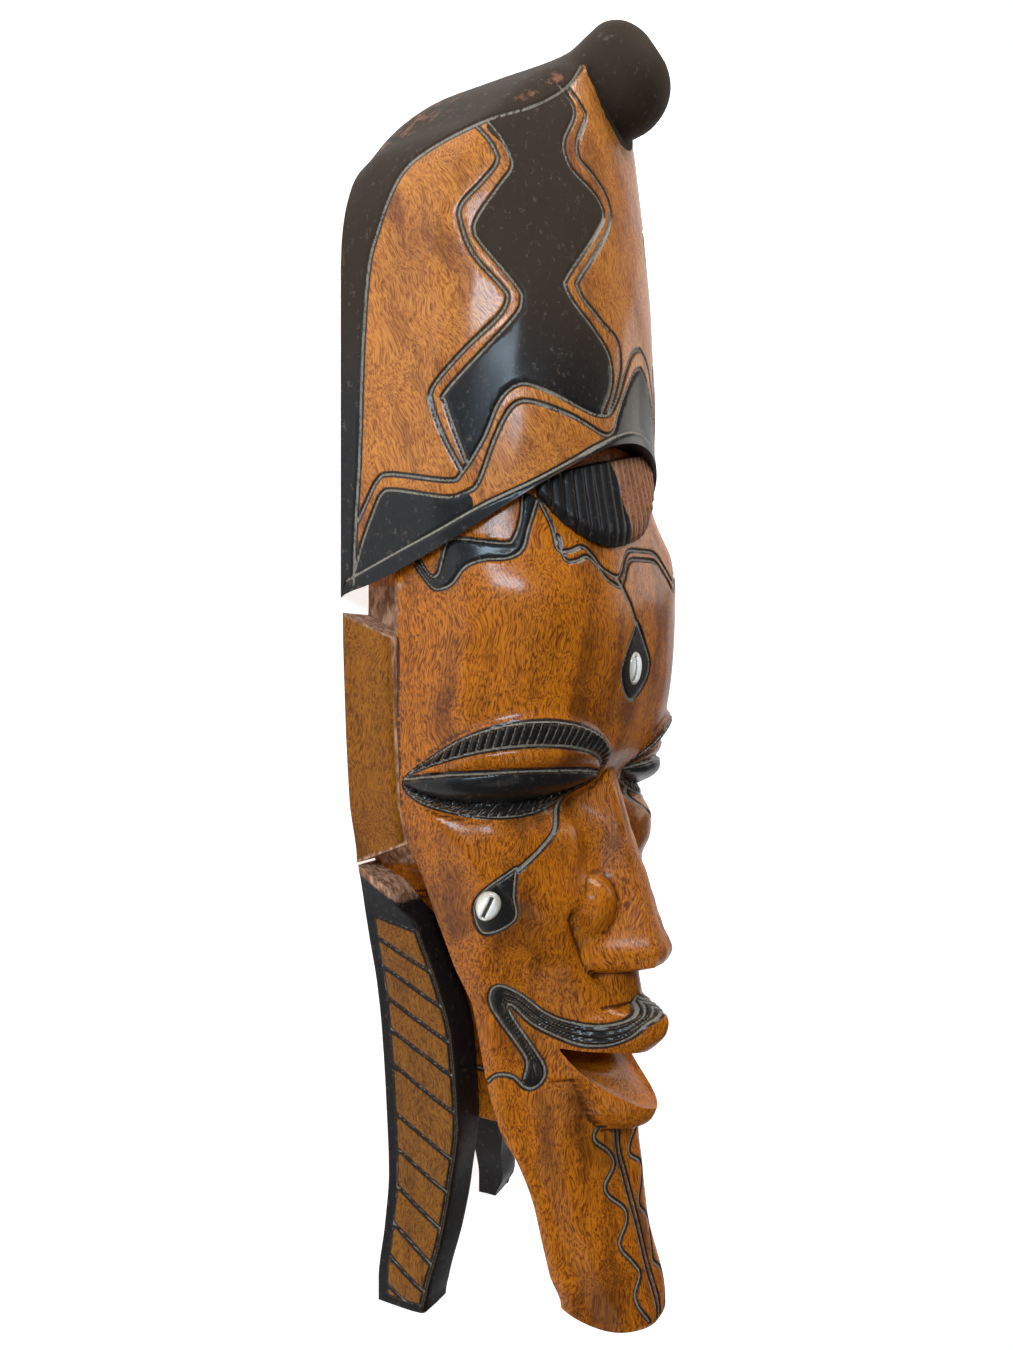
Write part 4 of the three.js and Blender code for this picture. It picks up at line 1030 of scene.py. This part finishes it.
def carved_wood(name, golden, honey, umber, gloss, lean):
    """Wood in three tones. The grain of a leaning piece drifts forward as it rises."""
    wood = Finish(name)
    add_scaled = {"operation": "MULTIPLY_ADD"}
    drift = wood.node("TexNoise", {}, {"Vector": wood.place, "Scale": 34.0, "Detail": 2.0}, out="Color")
    bent = wood.node("VectorMath", add_scaled, {0: drift, 1: (0.018, 0.05, 0.018), 2: wood.place})
    up = wood.node("SeparateXYZ", {}, {0: wood.place}, out="Y")
    bent = wood.node("VectorMath", add_scaled, {0: up, 1: (lean / 2, 0, lean), 2: bent})

    def grain(scale, shift=(0, 0, 0), detail=3.0, rough=0.5):
        place = wood.node("Mapping", {}, {"Vector": bent, "Scale": scale, "Location": shift})
        return wood.noise(place, detail=detail, rough=rough)

    flecks = grain((1400, 250, 1400), detail=4, rough=0.62)
    pores = grain((1900, 240, 1900), (0.7, 0.2, 0), detail=1)
    bands = grain((80, 9, 80), (0.1, 0.9, 0.4), rough=0.6)
    clouds = wood.noise(wood.stretched((22, 15, 22), (0.3, 0, 0)), detail=5, rough=0.62)
    from_centre = wood.node("VectorMath", {"operation": "LENGTH"}, {
        0: wood.node("Mapping", {}, {"Vector": bent, "Scale": (1, 0.05, 1), "Location": (0, 0, -LOG_CENTRE)}),
    }, out="Value")
    rings = (from_centre * (2 * np.pi / RING_GAP)).math("SINE") * 0.5 + 0.5
    tone = wood.mix(wood.ramp(flecks + rings * 0.1, 0.42, 0.66), golden, honey)
    tone = wood.mix(wood.ramp(clouds * 0.5 + bands * 0.5, 0.46, 0.64) * 0.65, tone, umber)
    tone = wood.mix(wood.ramp(bands, 0.48, 0.3) * 0.4, tone, honey)
    tone = wood.mix(wood.ramp(pores, 0.55, 0.66) * (0.3 + rings * 0.35), tone, umber)

    ragged = wood.noise(wood.stretched((900, 500, 900)), detail=3) - 0.5
    gouge, bend = wood.read("gouge") + ragged * 0.3, wood.read("bend")
    stained = wood.ramp(wood.read("black") + ragged * 1.2, -0.2, 0.2)
    # Beside each gouge runs a dark edge: partly black stain run past the cut, partly painted shade of the
    # gouge's walls.
    stain_and_shade_edge = 1 - wood.ramp(gouge, 0.3, 0.95)
    scraped = 1 - wood.ramp(gouge, -0.5, -0.18)
    cut = wood.read("cut") * wood.ramp(wood.read("cut") + ragged * 0.8, 0.3, 0.7)
    # Inward creases and hollows turn umber: painted shade.
    tone = wood.mix(wood.ramp(0 - bend, 0.015, 0.11) * 0.85, tone, umber)
    tone = wood.mix(wood.ramp(bend + ragged * 0.12, 0.10, 0.26) * 0.4, tone, honey)
    upper = wood.ramp(up, 0.10, 0.17)
    dark = wood.mix(wood.ramp(flecks, 0.45, 0.7) * 0.6, STAIN, STAIN_FLECK)
    dark = wood.mix(upper, dark, DRY_STAIN)
    specks = wood.ramp(wood.noise(wood.stretched((330, 240, 330)), detail=5, rough=0.75), 0.57, 0.69) * 0.5
    dark = wood.mix(specks, dark, DUST)
    dark = wood.mix(wood.ramp(bend + ragged * 0.25, 0.13, 0.3) * 0.7, dark, WORN_STAIN)
    rubbed = wood.noise(wood.stretched((150, 62, 150), (0, 0.4, 0)), detail=4, rough=0.6)
    patches = wood.ramp(rubbed + wood.read("worn") * 0.2, 0.66, 0.74)
    dark = wood.mix(patches * wood.read("worn") * 0.9, dark, RUBBED)
    tone = wood.mix(wood.node("Math", {"operation": "MAXIMUM"}, {0: stained, 1: stain_and_shade_edge * 0.95}), tone, dark)
    chiselled = wood.noise(wood.stretched((420, 120, 420)), detail=4, rough=0.65)
    bare = wood.mix(wood.ramp(chiselled, 0.4, 0.62), BARE_DARK, BARE)
    tone = wood.mix(cut, tone, bare)
    pale = wood.mix(wood.ramp(flecks, 0.42, 0.62), SCRAPED, SCRAPED_DARK)
    tone = wood.mix(scraped * (1 - cut) * 0.92, tone, pale)
    relief = (flecks * 0.25 - wood.ramp(pores, 0.56, 0.68) * 0.3) * (1 - stained * 0.5)
    relief = relief + chiselled * cut * 2.2
    dull = scraped + cut - scraped * cut
    wood.set(Base_Color=tone, Roughness=0.34 + flecks * 0.12 + dull * 0.3 + stained * (0.04 + upper * 0.26),
             Coat_Weight=(1 - dull) * (1 - stained * upper) * gloss, Coat_Roughness=0.16,
             Specular_IOR_Level=0.12, Normal=wood.bump(relief, 0.00028))
    return wood.material


# The wood of each part: its golden, honey and umber tones, its gloss, and how its grain leans.
# The knob and the mouth are finished as the face is.
WOODS = {
    "face": ("waxed_wood", GOLDEN, HONEY, UMBER, 0.28, 0.0),
    "hat": ("hat_wood", (0.27, 0.062, 0.009), (0.56, 0.195, 0.032), (0.11, 0.023, 0.010), 0.28, 0.35),
    # The ear blocks take darker tones than the face: painted shade for their sides, which face away from the
    # lights.
    "ear_block": ("dull_shaded_wood", (0.15, 0.036, 0.002), (0.30, 0.096, 0.005), (0.045, 0.011, 0.001), 0.06, 0.0),
    "hollow": ("dug_wood", (0.24, 0.09, 0.025), (0.36, 0.16, 0.05), (0.08, 0.03, 0.01), 0.03, 0.0),
    # The locks' tones are darkened the same way: painted shade for their sides, which face away from the
    # lights.
    "lock": ("lock_wood", (0.13, 0.034, 0.002), (0.26, 0.09, 0.006), (0.04, 0.010, 0.001), 0.05, 0.0),
    "forelock": ("forelock_wood", (0.22, 0.07, 0.025), (0.36, 0.14, 0.06), (0.10, 0.03, 0.012), 0.04, 0.0),
}
SHARP_FROM = radians(42)
woods = {part: carved_wood(*finish) for part, finish in WOODS.items()}
for name in PARTS:
    skin.materials.append(woods.get(name, woods["face"]))
for face in skin.polygons:
    face.use_smooth = True
skin.set_sharp_from_angle(angle=SHARP_FROM)
body = bpy.data.objects.new("carved_mask", skin)
scene.collection.objects.link(body)
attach(body, "root")
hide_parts("mask_body")

# Cowries: three small ivory shells, set mouth up on the forehead and the cheeks. The mouth is
# a slit between two toothed lips, painted near black as the shade inside it.
COWRIE_LENGTH, COWRIE_WIDTH, COWRIE_HEIGHT, COWRIE_SINK = 15, 10.5, 5.4, 0.3
SLIT_HALF, SLIT_DEEP, SLIT_END, TOOTH_GAP, TOOTH_OUT = 0.85, 1.8, 6.2, 1.05, 0.2
IVORY, IVORY_SHADE = (0.92, 0.87, 0.78), (0.74, 0.64, 0.48)
# The near-black slit colour is painted shade for the inside of the slit.
SKIRT_BROWN, SLIT_SHADE = (0.33, 0.22, 0.12), (0.035, 0.018, 0.010)
# How far round the face each shell sits in degrees, its height, its lean, and its slit's place aside.
COWRIES = {
    "forehead_cowrie": (-6.6, 300, 4, -1.7), "right_cheek_cowrie": (-65, 198.5, -30, 0),
    "left_cheek_cowrie": (65, 198.5, 30, 0),
}


def seat(turn, height, lean):
    """The place of a shell on the face: its own Z stands out and its own Y runs along it."""
    def on_face(angle, level):
        place = face_point(np.radians([angle]), np.array([float(level)]))
        return Vector([float(value[0]) for value in place])
    across = on_face(turn + 3, height) - on_face(turn - 3, height)
    up = on_face(turn, height + 3) - on_face(turn, height - 3)
    out = across.cross(up).normalized()
    up = (up - out * up.dot(out)).normalized()
    up.rotate(Quaternion(out, radians(lean)))
    place = Matrix((up.cross(out), up, out)).transposed().to_4x4()
    place.translation = on_face(turn, height) - out * COWRIE_SINK - Vector((0, MIDDLE_HEIGHT, 0))
    return place


shell_finish = Finish("cowrie_shell")
depth_in = shell_finish.read("slit")
mottle = shell_finish.noise(shell_finish.stretched((420, 420, 420)), detail=3)
skirt_share = shell_finish.ramp(shell_finish.read("skirt"), 0.55, 1.0) * 0.7
ivory = shell_finish.mix(shell_finish.ramp(mottle, 0.4, 0.7) * 0.6, IVORY, IVORY_SHADE)
ivory = shell_finish.mix(skirt_share, ivory, SKIRT_BROWN)
# The slit is painted near black: painted shade.
ivory = shell_finish.mix(shell_finish.ramp(depth_in, 0.25, 0.8), ivory, SLIT_SHADE)
shell_finish.set(Base_Color=ivory, Roughness=0.3 + mottle * 0.1, Coat_Weight=0.5, Coat_Roughness=0.12,
                 Normal=shell_finish.bump(mottle * 0.2, 0.0002))

for name, (turn, height, lean, slit_aside) in COWRIES.items():
    bm = bmesh.new()
    bmesh.ops.create_uvsphere(bm, u_segments=96, v_segments=72, radius=1)
    bmesh.ops.rotate(bm, verts=bm.verts, cent=(0, 0, 0), matrix=Matrix.Rotation(radians(90), 3, "X"))
    for vertex in bm.verts:
        x, y, z = vertex.co
        broad = 1 + 0.10 * y
        vertex.co = (x * COWRIE_WIDTH / 2 * broad, y * COWRIE_LENGTH / 2,
                     z * COWRIE_HEIGHT / 2 * (1 - 0.12 * x * x))
    slit, skirt = bm.verts.layers.float.new("slit"), bm.verts.layers.float.new("skirt")
    for vertex in bm.verts:
        x, y, z = vertex.co
        middle = slit_aside + 0.25 * np.sin(y / 4)
        aside = abs(x - middle)
        end = 1 - smooth_step(abs(y), SLIT_END - 1.2, SLIT_END)
        teeth = np.cos(2 * np.pi * y / TOOTH_GAP) * end
        opening = (1 - smooth_step(aside, SLIT_HALF * 0.35, SLIT_HALF + 0.35 + 0.3 * teeth)) * end
        lip = np.exp(-(((aside - 1.7) / 0.9) ** 2))
        if z > 0:
            vertex.co.z += TOOTH_OUT * (teeth + 0.6) * lip - SLIT_DEEP * opening
            vertex[slit] = float(opening)
        vertex[skirt] = float(np.hypot(x / COWRIE_WIDTH * 2, y / COWRIE_LENGTH * 2))
    bmesh.ops.transform(bm, verts=bm.verts, matrix=Matrix.Scale(0.001, 4) @ seat(turn, height, lean))
    bmesh.ops.recalc_face_normals(bm, faces=bm.faces)
    mesh = bpy.data.meshes.new(name)
    bm.to_mesh(mesh)
    bm.free()
    mesh.materials.append(shell_finish.material)
    for face in mesh.polygons:
        face.use_smooth = True
    shell = bpy.data.objects.new(name + "_shell", mesh)
    scene.collection.objects.link(shell)
    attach(shell, "root")
    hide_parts(name)
